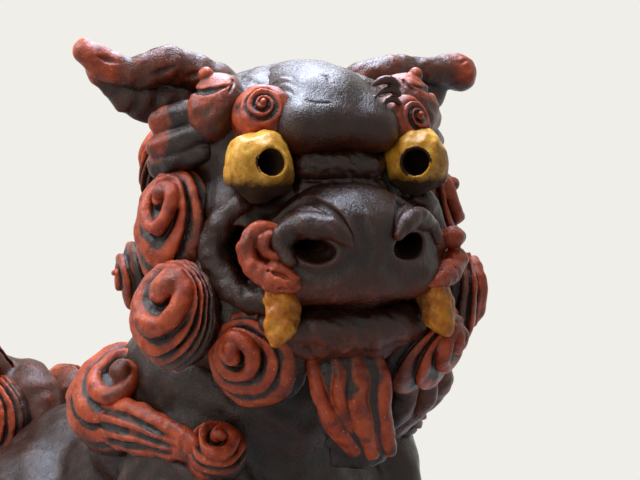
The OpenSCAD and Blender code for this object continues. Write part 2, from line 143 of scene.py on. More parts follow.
def melt(a: Gaps, b: Gaps, soft: float) -> Gaps:
    """Joins two forms as wet clay smeared over the seam.

    Args:
        a: Distances to the first form.
        b: Distances to the second form.
        soft: Width of the smeared seam, mm.

    Returns:
        Distances to the joined form.
    """
    h = np.clip(0.5 + 0.5 * (b - a) / soft, 0, 1)
    return b + (a - b) * h - soft * h * (1 - h)


def ease(x: np.ndarray, low: float, high: float) -> np.ndarray:
    """Rises smoothly from 0 at low to 1 at high."""
    t = np.clip((x - low) / (high - low), 0, 1)
    return t * t * (3 - 2 * t)


# Radius of a line's thinnest end, mm.
THINNEST = 0.2


def bent(line: Line, steps: int) -> np.ndarray:
    """Draws a smooth line through points that carry a radius.

    Args:
        line: Points x, y, z, radius.
        steps: Short straight runs between two points.

    Returns:
        The finer points, one in each row.
    """
    p = np.asarray(line, float)
    p = np.vstack([2 * p[0] - p[1], p, 2 * p[-1] - p[-2]])
    fine = []
    for a, b, c, d in zip(p, p[1:], p[2:], p[3:]):
        for t in np.arange(steps) / steps:
            fine.append((2 * b + (c - a) * t + (2 * a - 5 * b + 4 * c - d) * t ** 2
                         + (3 * b - a - 3 * c + d) * t ** 3) / 2)
    fine.append(p[-2])
    fine = np.array(fine)
    fine[:, 3] = np.maximum(fine[:, 3], THINNEST)
    return fine


def past_ball(p: Points, half: np.ndarray) -> Gaps:
    """Gives about how far points lie outside a ball that is pressed to three half sizes.

    Args:
        p: Points, from the ball's middle.
        half: The half sizes.

    Returns:
        The distances, negative inside.
    """
    q = p / half
    k0 = np.linalg.norm(q, axis=1) + TINY
    return k0 * (k0 - 1) / (np.linalg.norm(q / half, axis=1) + TINY)


class Form(ABC):
    """A clay form, known by how far a point lies outside its surface."""

    @abstractmethod
    def gap(self, p: Points) -> Gaps:
        """Gives the distance of each point to the surface, negative inside."""

    @abstractmethod
    def reach(self) -> Box:
        """Gives the lowest and highest corner of a box round the form."""


@dataclass(frozen=True)
class Lump(Form):
    """A pressed ball of clay with three half sizes."""

    middle: Triple
    half: Triple
    turn: Triple = (0.0, 0.0, 0.0)

    def gap(self, p: Points) -> Gaps:
        """Gives the distance of each point to the lump."""
        q = (p - np.asarray(self.middle, float)) @ turned(*self.turn)
        return past_ball(q, np.asarray(self.half, float))

    def reach(self) -> Box:
        """Gives the box round the lump.

        Returns:
            The lowest and highest corner.
        """
        r = np.abs(turned(*self.turn)) @ np.asarray(self.half, float)
        m = np.asarray(self.middle, float)
        return m - r, m + r


@dataclass(frozen=True)
class Coil(Form):
    """A roll of clay along a smooth line, thicker and thinner, pressed flat if asked."""

    line: Line
    flat: Triple = (1.0, 1.0, 1.0)
    steps: int = 5

    def gap(self, p: Points) -> Gaps:
        """Gives the distance of each point to the roll.

        Args:
            p: The points.

        Returns:
            The distances, negative inside.
        """
        flat = np.asarray(self.flat, float)
        q = p / flat
        path = bent(self.line, self.steps)
        path[:, :3] /= flat
        best = np.full(len(p), np.inf)
        for a, b in zip(path, path[1:]):
            run = b[:3] - a[:3]
            rel = q - a[:3]
            t = np.clip(rel @ run / max(run @ run, TINY), 0, 1)
            away = np.linalg.norm(rel - t[:, None] * run, axis=1)
            best = np.minimum(best, away - (a[3] + (b[3] - a[3]) * t))
        return best * flat.min()

    def reach(self) -> Box:
        """Gives the box round the roll.

        Returns:
            The lowest and highest corner.
        """
        path = bent(self.line, self.steps)
        r = path[:, 3:] * np.maximum(np.asarray(self.flat), 1.0)
        return (path[:, :3] - r).min(0), (path[:, :3] + r).max(0)


@dataclass(frozen=True)
class Joined(Form):
    """Forms smeared together."""

    forms: tuple[Form, ...]
    soft: float

    def gap(self, p: Points) -> Gaps:
        """Gives the distance of each point to the joined forms.

        Args:
            p: The points.

        Returns:
            The distances, negative inside.
        """
        g = self.forms[0].gap(p)
        for form in self.forms[1:]:
            g = melt(g, form.gap(p), self.soft)
        return g

    def reach(self) -> Box:
        """Gives the box round all the forms."""
        lows, highs = zip(*(form.reach() for form in self.forms))
        return np.min(lows, 0) - self.soft / 4, np.max(highs, 0) + self.soft / 4


@dataclass(frozen=True)
class Carved(Form):
    """A form with strokes of a tool taken out of it."""

    body: Form
    tools: tuple[Form, ...]
    soft: float

    def gap(self, p: Points) -> Gaps:
        """Gives the distance of each point to what is left.

        Args:
            p: The points.

        Returns:
            The distances, negative inside.
        """
        g = self.body.gap(p)
        for tool in self.tools:
            g = -melt(-g, tool.gap(p), self.soft)
        return g

    def reach(self) -> Box:
        """Gives the box round the uncut form."""
        return self.body.reach()


@dataclass(frozen=True)
class Footed(Form):
    """A form set down on the ground while wet, so that it is flat below."""

    body: Form

    def gap(self, p: Points) -> Gaps:
        """Gives the distance of each point to the part above the ground."""
        return np.maximum(self.body.gap(p), -p[:, 2])

    def reach(self) -> Box:
        """Gives the box round the part above the ground."""
        low, high = self.body.reach()
        return np.array([low[0], low[1], 0.0]), high


# Height and width of the fingers' swells, of the dents among them and of the fine ones, as shares of the kneading's.
SWELLS = ((1.0, 1.0), (0.4, 0.42), (0.09, 0.19))
# Waves that cross at random in each of them, and what brings their sum to about 1.
WAVES, EVENED = 9, 2.1


@dataclass(frozen=True)
class Kneaded(Form):
    """A form with the unevenness of fingers: shallow swells and dents, and smaller ones among them."""

    body: Form
    amount: float
    size: float
    seed: int

    def gap(self, p: Points) -> Gaps:
        """Gives the distance of each point to the uneven form.

        Args:
            p: The points.

        Returns:
            The distances, negative inside.
        """
        rng = np.random.default_rng(self.seed)
        uneven = np.zeros(len(p))
        for high, wide in SWELLS:
            ways = rng.normal(size=(3, WAVES))
            lengths = self.size * wide * rng.uniform(0.8, 1.3, WAVES)
            ways *= 2 * math.pi / (lengths * np.linalg.norm(ways, axis=0))
            uneven += high * np.sin(p @ ways + rng.uniform(0, 6.3, WAVES)).sum(1) / EVENED
        return self.body.gap(p) + self.amount * uneven

    def reach(self) -> Box:
        """Gives the box round the uneven form."""
        low, high = self.body.reach()
        return low - 2 * self.amount, high + 2 * self.amount


@dataclass(frozen=True)
class Brought(Form):
    """A form drawn in an outer frame, brought into the frame of a piece that is seated there."""

    body: Form
    place: Place

    def gap(self, p: Points) -> Gaps:
        """Gives the distance of each point to the form."""
        return self.body.gap(self.place.out(p))

    def reach(self) -> Box:
        """Gives the box round the form, in the inner frame.

        Returns:
            The lowest and highest corner.
        """
        ends = np.array(self.body.reach())
        corners = np.array([[x, y, z] for x in ends[:, 0] for y in ends[:, 1] for z in ends[:, 2]])
        inner = (corners - self.place.at) @ self.place.axes
        return inner.min(0), inner.max(0)


# A hand strays from a spiral in waves: the share of each, and how many of them come in a turn.
STRAYING = ((1.0, 2), (0.6, 3), (0.5, 5))
# Turn that the knob of a curl takes up, points along its roll, width of a band's lip, mm, and the way from the
# knob over which the tool marks grow shallow, mm.
LEAD, ROLL_POINTS, LIP, INNER = 0.4, 13, 0.9, 11.0


@dataclass(frozen=True)
class Curl(Form):
    """A mound with a roll of clay that starts as a knob, and bands laid round it, each under the last one's lip.

    Attributes:
        radius: Half width of the mound.
        height: Height of the mound over its seat.
        tall: Half height of the mound as a share of its half width.
        lean: Place of the knob, as shares of the half width and half height.
        rings: Way from the knob to the roll and then to each band, turn by turn, mm.
        start: Direction from which the roll leaves the knob, clockwise, degrees.
        knob: Radius of the knob.
        roll: Radius of the roll at the end of its first turn.
        coils: Turns of the roll; without any, the knob is a ball.
        hollow: Share of a band that lies hollow beside the last one's lip.
        depth: Depth of the hollow.
        swell: How far the band is rounded up.
        wander: How far the hand strayed from the spiral, mm.
        seed: Number that sets where it strayed.
    """

    radius: float
    height: float
    tall: float = 1.0
    lean: tuple[float, float] = (-0.1, 0.3)
    rings: tuple[float, ...] = (4.4, 10.2, 14.8, 18.8, 22.4)
    start: float = 200.0
    knob: float = 2.9
    roll: float = 2.9
    coils: float = 1.25
    hollow: float = 0.5
    depth: float = 2.2
    swell: float = 0.9
    wander: float = 0.5
    seed: int = 1

    def half(self) -> np.ndarray:
        """Gives the mound's half sizes."""
        return np.array([self.radius, self.radius * self.tall, self.height])

    def span(self) -> float:
        """Gives the way from the middle of the mound to its rim, mm."""
        return (self.radius * (1 + self.tall) / 2 + self.height) * math.pi / 4

    def laid_out(self, n: Points) -> np.ndarray:
        """Lays directions on the mound out in a disc: the middle at 0, the rim at 1."""
        down = np.arccos(np.clip(n[:, 2], -1, 1)) * 2 / math.pi
        return n[:, :2] / (np.linalg.norm(n[:, :2], axis=1, keepdims=True) + TINY) * down[:, None]

    def knob_at(self) -> np.ndarray:
        """Gives the place of the knob on the disc."""
        x, y = self.lean
        return self.laid_out(np.array([[x, y, math.sqrt(max(1 - x * x - y * y, 0.05))]]))[0]

    def dome(self, p: Points) -> Gaps:
        """Gives the distance of each point to the plain mound."""
        return past_ball(p, self.half())

    def spiral(self) -> tuple[np.ndarray, np.ndarray]:
        """Gives ways from the knob, mm, and how many turns the spiral has made there."""
        return np.array([0.0, *self.rings]), np.array([-LEAD, *range(len(self.rings))])

    def tooled(self, p: Points) -> tuple[np.ndarray, np.ndarray, np.ndarray]:
        """Follows the bands over the mound, from rings round the knob to rings round the whole mound.

        Args:
            p: Points in the curl's frame.

        Returns:
            How deep the hollow is, how full the band is, both from 0 to 1, and the way from the knob, mm.
        """
        n = p / self.half()
        n /= np.linalg.norm(n, axis=1, keepdims=True) + TINY
        flat, knob = self.laid_out(n), self.knob_at()
        off = flat - knob
        along, rest = off @ knob, 1 - knob @ knob
        ring = (along + np.sqrt(along ** 2 + rest * (off ** 2).sum(1))) / rest
        way = ring * self.span()
        spoke = flat - knob * (1 - ring)[:, None]
        angle = np.arctan2(spoke[:, 1], spoke[:, 0])
        lags = np.random.default_rng(self.seed).uniform(0, 6.3, 3)
        stray = sum(share * np.sin(waves * angle + lag) for (share, waves), lag in zip(STRAYING, lags))
        astray = way + self.wander * ease(way, 4, 11) * stray
        rings, turns = self.spiral()
        turn = np.interp(astray, rings, turns) - (math.radians(self.start) - angle) / (2 * math.pi)
        u = turn - np.floor(turn)
        pitch = np.interp(astray, (rings[1:] + rings[:-1]) / 2, np.diff(rings) / np.diff(turns))
        lip = 1 - np.clip(LIP / pitch, 0.08, 0.3)
        cut = np.maximum(np.clip(1 - u / self.hollow, 0, 1) ** 1.6, ease(u, lip, 1.0))
        begin = rings[1] * (0.55 if self.coils else 0.8)
        there = ease(way, begin * 0.5, begin) * (1 - ease(way, rings[-1] - 1.5, rings[-1] + 1.0))
        flank = 0.6 * self.hollow
        full = np.sin(math.pi * np.clip((u - flank) / (1 - flank), 0, 1) ** 1.4)
        return cut * there, full * there, way

    def clay_roll(self) -> Form:
        """Shapes the roll round the knob.

        Returns:
            The roll, or a ball where it makes no turn.
        """
        half, knob, (rings, turns) = self.half(), self.knob_at(), self.spiral()
        coils = max(self.coils, 0.01)
        line = []
        for t in np.linspace(0, coils, ROLL_POINTS):
            ring = np.interp(t - LEAD, turns, rings) / self.span()
            a = math.radians(self.start) - 2 * math.pi * t
            flat = knob * (1 - ring) + ring * np.array([math.cos(a), math.sin(a)])
            down = np.linalg.norm(flat) + TINY
            top = np.array([*(flat / down * math.sin(down * math.pi / 2)), math.cos(down * math.pi / 2)]) * half
            out = top / half ** 2
            done, first = t / coils, min(t, 1.0)
            # The roll is pinched beside the knob, and at its end it thins and sinks under the band.
            thick = self.knob * (1 - 0.22 * math.sin(math.pi * min(t / 0.5, 1.0))) + (self.roll - self.knob) * first
            thick *= 1 - 0.55 * max(0.0, done - 0.75) / 0.25
            lift = (0.35 - 0.55 * first) * thick - 1.2 * max(0.0, done - 0.7) / 0.3
            line.append((*(top + lift * out / np.linalg.norm(out)), thick))
        if not self.coils:
            return Lump(line[0][:3], (self.knob, self.knob * 0.95, self.knob))
        return Coil(tuple(line), steps=3)

    def gap(self, p: Points) -> Gaps:
        """Gives the distance of each point to the tooled mound.

        Args:
            p: The points.

        Returns:
            The distances, negative inside.
        """
        cut, full, way = self.tooled(p)
        inner = np.exp(-way / INNER)
        g = self.dome(p) + self.depth * (0.5 + 1.1 * inner) * cut - self.swell * (0.8 + 0.4 * inner) * full
        return melt(g, self.clay_roll().gap(p), 0.7)

    def reach(self) -> Box:
        """Gives the box round the mound and its knob."""
        r = self.half() + self.swell + max(self.knob, self.roll) * 1.4
        return -r, r


# How far a stroke is moved to meet a form, to each side, and in what steps, mm.
SEARCH, SEARCH_STEP = 25.0, 0.25


def drawn(form: Form, line: Line, toward: Triple, sink: float = 0.0) -> Coil:
    """Lays a stroke onto a form's surface.

    Args:
        form: The form.
        line: Points x, y, z, radius beside the form; those that miss it are left out.
        toward: Direction in which each point is moved until it meets the surface.
        sink: How far the stroke lies under the surface, mm.

    Returns:
        The stroke.
    """
    way = np.asarray(toward, float)
    way /= np.linalg.norm(way)
    steps = np.arange(-SEARCH, SEARCH, SEARCH_STEP)
    laid = []
    for x, y, z, r in line:
        ray = np.array([x, y, z]) + steps[:, None] * way
        inside = np.flatnonzero(form.gap(ray) < 0)
        if len(inside):
            laid.append((*(ray[inside[0]] + sink * way), r))
    return Coil(tuple(laid) if len(laid) > 1 else line)


@dataclass(frozen=True)
class Carrier:
    """A lump that curls are pressed onto."""

    middle: Triple
    half: Triple

    def lump(self, side: Side = Side.RIGHT) -> Lump:
        """Gives the carrier's own clay on one side."""
        return Lump(tuple(side.mirror() @ np.asarray(self.middle, float)), self.half)

    def seat(self, place: Place, around: float, up: float, tilt: float) -> Place:
        """Finds the frame of a piece pressed onto the carrier: Z outwards, Y up.

        Args:
            place: The frame that the carrier lies in.
            around: Angle round the carrier from its front, degrees.
            up: Angle up the carrier, degrees.
            tilt: Degrees by which the piece faces further up than the carrier does there.

        Returns:
            The piece's frame.
        """
        a, e = math.radians(around), math.radians(up)
        n = np.array([math.cos(e) * math.sin(a), -math.cos(e) * math.cos(a), math.sin(e)])
        half = np.asarray(self.half, float)
        at = np.asarray(self.middle, float) + n * half
        z = n / half
        z /= np.linalg.norm(z)
        x = np.cross([0.0, 0.0, 1.0], z)
        x /= np.linalg.norm(x)
        return place.within(np.column_stack([x, np.cross(z, x), z]) @ turned(about_x=-tilt), tuple(at))


BROW_SLAB = Joined((Lump((0, 2, 47), (24, 30, 17.5)), Lump((-0.6, -27, 42), (18.6, 11.5, 9.5)),
                    Lump((-0.6, -13, 46), (19.9, 20, 14.5)), Lump((-14.6, -29, 41), (8.6, 10, 8.5)),
                    Lump((13.6, -28.6, 41), (8.2, 10, 8.5))), 7)
SKULL = Carrier((0, 6, 20), (42, 40, 40))
CROWN = Carrier((0, 8, 36), (46, 36, 27))
MANE = Carrier((0, 20, -2), (52, 42, 54))
MUZZLE = Carrier((0, -24, -4), (34, 30, 24))
JAW = Carrier((0, -12, -28), (42, 30, 18))
CHEEK = Carrier((-32, -8, 4), (11, 22, 22))
JOWL = Carrier((-34.5, -4, -20), (20, 26, 24))
NECK = Carrier((0, -38, 166), (52, 50, 44))
WITHERS = Carrier((0, -8, 148), (48, 44, 34))
CHEST = Carrier((0, -41, 115), (54, 48, 54))
BARREL = Carrier((0, 12, 105), (46, 62, 42))
RUMP = Carrier((0, 62, 100), (48, 42, 46))
SHOULDER = Carrier((-42, -49, 122), (22, 34, 42))
HAUNCH = Carrier((-38, 60, 88), (24, 36, 44))
TAIL_LOBE = Carrier((-4, 108, 134), (15, 22, 24))


# Cells along a block of the grid, cells that are kept beside a surface, how far a block's middle lies from a surface
# that may cross it, in its sides, and blocks that are worked out at once.
BLOCK, BESIDE, CROSSED, AT_ONCE = 8, 3, 1.2, 300


def skin(form: Form, grain: float) -> tuple[Points, np.ndarray]:
    """Wraps a form in a closed mesh of even quads.

    Args:
        form: The form.
        grain: Size of a quad, mm.

    Returns:
        The points and the quads.
    """
    low, high = form.reach()
    band = BESIDE * grain
    low = low - band
    blocks = np.ceil((high + band - low) / (BLOCK * grain)).astype(int)
    corners = np.stack(np.meshgrid(*(np.arange(n) for n in blocks), indexing="ij"), -1).reshape(-1, 3)
    away = form.gap(low + (corners * BLOCK + (BLOCK - 1) / 2) * grain)
    near = np.flatnonzero(np.abs(away) < BLOCK * grain * CROSSED)
    cells = np.empty((*blocks, BLOCK, BLOCK, BLOCK), np.float32)
    cells[...] = (np.where(away > 0, band, -band).reshape(blocks))[..., None, None, None]
    steps = np.stack(np.meshgrid(*(np.arange(BLOCK),) * 3, indexing="ij"), -1).reshape(-1, 3)
    for part in np.array_split(near, max(1, len(near) // AT_ONCE)):
        p = low + (corners[part][:, None] * BLOCK + steps[None]) * grain
        g = form.gap(p.reshape(-1, 3)).reshape(-1, BLOCK, BLOCK, BLOCK)
        cells[tuple(corners[part].T)] = np.clip(g, -band, band)
    dense = cells.transpose(0, 3, 1, 4, 2, 5).reshape(blocks * BLOCK)
    grid = openvdb.FloatGrid(band)
    grid.copyFromArray(np.ascontiguousarray(dense))
    points, quads = grid.convertToQuads(isovalue=0.0)
    return low + points.astype(float) * grain, quads.astype(np.int64)


def eased(points: Points, quads: np.ndarray, rounds: int, pull: float) -> Points:
    """Draws each point towards its neighbours, as a wet sponge evens clay.

    Args:
        points: The mesh's points.
        quads: The mesh's quads.
        rounds: How often.
        pull: Share of the way in each round.

    Returns:
        The evened points.
    """
    ends = np.concatenate([quads[:, k] for k in range(4)])
    others = np.concatenate([quads[:, (k + 1) % 4] for k in range(4)])
    count = np.maximum(np.bincount(ends, minlength=len(points)), 1)
    p = points.copy()
    for _ in range(rounds):
        mean = np.column_stack([np.bincount(ends, p[others, k], len(p)) for k in range(3)]) / count[:, None]
        p += pull * (mean - p)
    return p


def facing(points: Points, quads: np.ndarray) -> np.ndarray:
    """Gives each point's outward direction.

    Args:
        points: The mesh's points.
        quads: The mesh's quads.

    Returns:
        The directions.
    """
    c = np.cross(points[quads[:, 2]] - points[quads[:, 0]], points[quads[:, 3]] - points[quads[:, 1]])
    n = np.zeros_like(points)
    for k in range(4):
        for j in range(3):
            n[:, j] += np.bincount(quads[:, k], c[:, j], len(points))
    return n / (np.linalg.norm(n, axis=1, keepdims=True) + 1e-12)


@dataclass(frozen=True)
class Wiping:
    """How far the sponge took the slip off a piece.

    Attributes:
        base: Bare clay on an even surface, from 0, all slip, to 1, all bare.
        edge: What each millimetre adds by which a ridge stands proud.
        spread: Width over which a ridge is judged, mm.
        below: What is added on undersides: painted warm reflected light.
        caked_and_shaded: Share of a hollow's depth that darkens it: slip that dried thick, and painted shade.
    """

    base: float
    edge: float = 0.9
    spread: float = 2.2
    below: float = 0.0
    caked_and_shaded: float = 1.0


QUICK, SPONGE, EVENING = 1.7, 0.3, 0.85


@dataclass
class ClayPiece:
    """One piece of the statue, from its form to its dressed mesh.

    Attributes:
        node: The solid that the piece stands for.
        form: Its shape.
        place: The frame that the shape is drawn in.
        slot: Its material slot; not used.
        material: Its finish.
        wiping: How the slip was wiped off it.
        grain: Size of its mesh's quads, mm.
        paint: What is added to the bare clay from place to place.
    """

    node: str
    form: Form
    place: Place
    slot: Slot
    material: bpy.types.Material
    wiping: Wiping
    grain: float
    paint: Paint | None = None

    def wiped(self, local: Points, points: Points, quads: np.ndarray, grain: float) -> tuple[np.ndarray, np.ndarray]:
        """Judges from the relief where the sponge took the slip off, and how deep the hollows lie that are darkened as
        thick slip and painted shade.

        Args:
            local: The mesh's points, in the piece's frame.
            points: The same points, in the statue's frame.
            quads: The mesh's quads.
            grain: Size of a quad, mm.

        Returns:
            How bare the clay is at each point, and how deep it lies in a hollow, mm, scaled by the share that is
            darkened there.
        """
        w = self.wiping
        rounds = max(3, int(0.6 * (w.spread / grain) ** 2))
        out = facing(points, quads)
        near = eased(points, quads, rounds, EVENING)
        proud = np.einsum("ij,ij->i", points - near, out)
        deep = np.einsum("ij,ij->i", points - eased(near, quads, rounds * 3, EVENING), out)
        # Undersides get more bare clay and so a warmer tone: painted warm reflected light.
        bare = w.base + w.edge * np.clip(proud, -1.2, 0.8) + w.below * ease(-out[:, 2], 0.0, 0.8)
        if self.paint:
            bare = bare + self.paint(local)
        return bare, w.caked_and_shaded * np.clip(-deep, 0, 4)

    def build(self) -> bpy.types.Object:
        """Makes the piece's mesh and seats it on the statue.

        Returns:
            The piece.
        """
        grain = self.grain * 1.0
        local, quads = skin(self.form, grain)
        local = eased(local, quads, 1, SPONGE)
        points = self.place.out(local)
        p = points[quads]
        if np.einsum("ij,ij->", p[:, 0], np.cross(p[:, 1] - p[:, 0], p[:, 2] - p[:, 0])) < 0:
            quads = quads[:, ::-1]
        mesh = bpy.data.meshes.new(self.node)
        mesh.vertices.add(len(points))
        mesh.vertices.foreach_set("co", (points * MM).astype(np.float32).ravel())
        mesh.loops.add(quads.size)
        mesh.loops.foreach_set("vertex_index", quads.astype(np.int32).ravel())
        mesh.polygons.add(len(quads))
        mesh.polygons.foreach_set("loop_start", np.arange(0, quads.size, 4, dtype=np.int32))
        mesh.update(calc_edges=True)
        mesh.polygons.foreach_set("use_smooth", np.ones(len(quads), bool))
        for name, values in zip(("bare", "hollow"), self.wiped(local, points, quads, grain)):
            mesh.attributes.new(name, "FLOAT", "POINT").data.foreach_set("value", values.astype(np.float32))
        mesh.materials.append(self.material)
        piece = bpy.data.objects.new(f"clay_{self.node}", mesh)
        bpy.context.scene.collection.objects.link(piece)
        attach(piece, ROOT_BODY)
        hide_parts(self.node)
        LOG.info("%s: %d quads", piece.name, len(quads))
        return piece


def linear(code: str) -> tuple[float, float, float, float]:
    """Turns an sRGB hex colour to linear light.

    Args:
        code: The colour, as #rrggbb.

    Returns:
        Red, green, blue and alpha.
    """
    parts = [int(code[k:k + 2], 16) / 255 for k in (1, 3, 5)]
    r, g, b = (v / 12.92 if v <= 0.04045 else ((v + 0.055) / 1.055) ** 2.4 for v in parts)
    return r, g, b, 1.0


def put(tree: bpy.types.NodeTree, kind: str, settings: dict | None = None, links: dict | None = None,
        out: int | str = 0, stops: tuple = (), **traits: object) -> bpy.types.NodeSocket | None:
    """Adds a node with its settings and links.

    Args:
        tree: The node tree.
        kind: The node's type, after the word that all of them begin with.
        settings: Values of its sockets.
        links: Outputs that run into its sockets.
        out: The output that is wanted.
        stops: Places and colours, where the node is a ramp.
        traits: The node's own properties.

    Returns:
        That output, or nothing where the node is an end.
    """
    node = tree.nodes.new(f"ShaderNode{kind}")
    for name, value in traits.items():
        setattr(node, name, value)
    for key, value in (settings or {}).items():
        node.inputs[key].default_value = value
    for key, source in (links or {}).items():
        tree.links.new(source, node.inputs[key])
    for k, (at, code) in enumerate(stops):
        ramp = node.color_ramp.elements
        stop = ramp[k] if k < 2 else ramp.new(at)
        stop.position, stop.color = at, linear(code)
    return node.outputs[out] if len(node.outputs) else None


def fresh(name: str) -> tuple[bpy.types.Material, bpy.types.NodeTree, bpy.types.NodeSocket]:
    """Makes an empty material.

    Args:
        name: Its name.

    Returns:
        The material, its node tree, and the place on the object that its patterns follow.
    """
    m = bpy.data.materials.new(name)
    m.use_nodes = True
    m.node_tree.nodes.clear()
    return m, m.node_tree, put(m.node_tree, "TexCoord", out="Object")


def per_metre(size_mm: float) -> float:
    """Gives a pattern's scale from the size of its features."""
    return 1 / (size_mm * MM)


@dataclass(frozen=True)
class WipedSlip:
    """Red earthenware under a thin dark slip, sponged off the ridges while it was leather hard.

    Slip left in the hollows dries brown-black with a soft sheen from the sponge; the wiped ridges show
    the iron-red clay with its fine sand, and a film of slip stays in the scratches.

    Attributes:
        name: The finish's name.
        slip: Dark, middle and light tone of the slip.
        clay: The same of the bare clay.
        thin: Tone of slip that ran so thin that the clay shows through.
        sand_glints: Tone of the pale sand specks, which also stand in for painted glints.
        slip_sheen: Roughness of the slip.
        clay_sheen: Roughness of the bare clay.
        ior: Index of refraction.
        gloss: Level of mirror light, low because the surface is porous.
        patch_mm: Size of the patches in the slip's thickness.
        fleck_mm: Size of the flecks at a wiped edge.
        sand_mm: Size of the sand.
        brush_mm: Width of the sponge's streaks.
        glint_mm: Distance between pale sand specks.
        glint_fade: Shares of that distance where a speck starts to fade and has gone, and its strength at both.
        wiped_edge: Bare clay at which the slip begins to go, and at which it has gone.
        runny: Bare clay up to which the slip thins.
        caked_and_shaded: Depths of a hollow, mm, at which its darkening, thick slip and painted shade, begins to show
            and is full, and how far it covers then.
        relief: Strength, and height in mm, of the sand, the flecks and the streaks.
    """

    name: str = "red_earthenware_wiped_slip"
    slip: tuple[str, str, str] = ("#170c09", "#22140f", "#2e1e18")
    clay: tuple[str, str, str] = ("#722410", "#a23d1c", "#bd552c")
    thin: str = "#4d2415"
    sand_glints: str = "#d9a58a"
    slip_sheen: float = 0.3
    clay_sheen: float = 0.32
    ior: float = 1.5
    gloss: float = 0.3
    patch_mm: float = 6.0
    fleck_mm: float = 1.6
    sand_mm: float = 0.5
    brush_mm: float = 2.4
    glint_mm: float = 2.0
    glint_fade: tuple[float, float, float, float] = (0.08, 0.2, 0.55, 0.0)
    wiped_edge: tuple[float, float] = (0.16, 0.92)
    runny: float = 0.26
    caked_and_shaded: tuple[float, float, float] = (0.4, 2.4, 0.8)
    relief: tuple[tuple[float, float], ...] = ((1.0, 0.25), (0.25, 0.4), (0.45, 0.5))

    def material(self) -> bpy.types.Material:
        """Makes the finish.

        Returns:
            The material.
        """
        m, t, at = fresh(self.name)
        bare, hollow = (put(t, "Attribute", out="Fac", attribute_name=name) for name in ("bare", "hollow"))
        along = put(t, "Mapping", {"Scale": (1.0, 1.0, 0.2), "Rotation": (0.5, 0.3, 0.0)}, {0: at})
        # Sand of about 0.3 mm is drawn at 0.5 mm, and its pale specks, which also stand in for painted glints, about
        # twice too wide, so that they show.
        patch, fleck, sand, brush = (
            put(t, "TexNoise", {"Scale": per_metre(size), "Detail": detail, "Roughness": rough}, {"Vector": way}, "Fac")
            for size, detail, rough, way in ((self.patch_mm, 4.0, 0.6, at), (self.fleck_mm, 3.0, 0.6, at),
                                             (self.sand_mm, 2.0, 0.5, at), (self.brush_mm, 3.0, 0.55, along)))
        # Some cells get a pale speck on the bare clay: sand, and painted glints.
        grain = put(t, "TexVoronoi", {"Scale": per_metre(self.glint_mm)}, {"Vector": at}, "Distance")
        few = put(t, "SeparateColor", links={0: grain.node.outputs["Color"]})
        few = put(t, "Math", {1: 0.5}, {0: few}, operation="GREATER_THAN")
        patches, spots, uneven = (put(t, "Math", {1: by, 2: -by / 2}, {0: noise}, operation="MULTIPLY_ADD")
                                  for noise, by in ((patch, 0.5), (fleck, 0.5), (fleck, 0.3)))
        # The wiped edge is broken up by the patches and flecks; below it the slip runs thin.
        worn = put(t, "Math", links={0: patches, 1: bare}, operation="ADD")
        worn = put(t, "Math", links={0: worn, 1: spots}, operation="ADD")
        worn = put(t, "MapRange", dict(enumerate(self.wiped_edge, 1)), {0: worn}, interpolation_type="SMOOTHSTEP")
        slip, clay = (put(t, "ValToRGB", links={0: patch}, stops=((0.3, dark), (high, light), (middle, mean)))
                      for (dark, mean, light), middle, high in ((self.slip, 0.5, 0.7), (self.clay, 0.48, 0.68)))
        runny = put(t, "MapRange", {2: self.runny}, {0: bare})
        near = put(t, "MapRange", dict(enumerate(self.glint_fade, 1)), {0: grain})
        near = put(t, "Math", links={0: near, 1: few}, operation="MULTIPLY")
        # Deep hollows are mixed towards the darkest slip and made matt: slip that dried thick, and painted shade.
        thick_slip_and_shade = put(t, "MapRange", dict(zip((1, 2, 4), self.caked_and_shaded)), {0: hollow})
        slip, clay = (put(t, "Mix", {7: linear(code)}, {0: share, 6: under}, 2, data_type="RGBA")
                      for code, share, under in ((self.thin, runny, slip), (self.sand_glints, near, clay)))
        colour = put(t, "Mix", links={0: worn, 6: slip, 7: clay}, out=2, data_type="RGBA")
        colour = put(t, "Mix", {7: linear(self.slip[0])}, {0: thick_slip_and_shade, 6: colour}, 2, data_type="RGBA")
        sheen = put(t, "MapRange", {3: self.slip_sheen, 4: self.clay_sheen}, {0: worn})
        sheen = put(t, "Math", links={0: sheen, 1: uneven}, operation="ADD")
        sheen = put(t, "Math", {1: 0.4}, {0: thick_slip_and_shade, 2: sheen}, operation="MULTIPLY_ADD")
        bump: dict[str, bpy.types.NodeSocket] = {}
        for height, (strength, high) in zip((sand, fleck, brush), self.relief):
            bump = {"Normal": put(t, "Bump", {"Strength": strength, "Distance": high * MM}, {"Height": height, **bump})}
        shader = put(t, "BsdfPrincipled", {"IOR": self.ior, "Specular IOR Level": self.gloss},
                     {"Base Color": colour, "Roughness": sheen, **bump})
        put(t, "OutputMaterial", links={"Surface": shader})
        return m


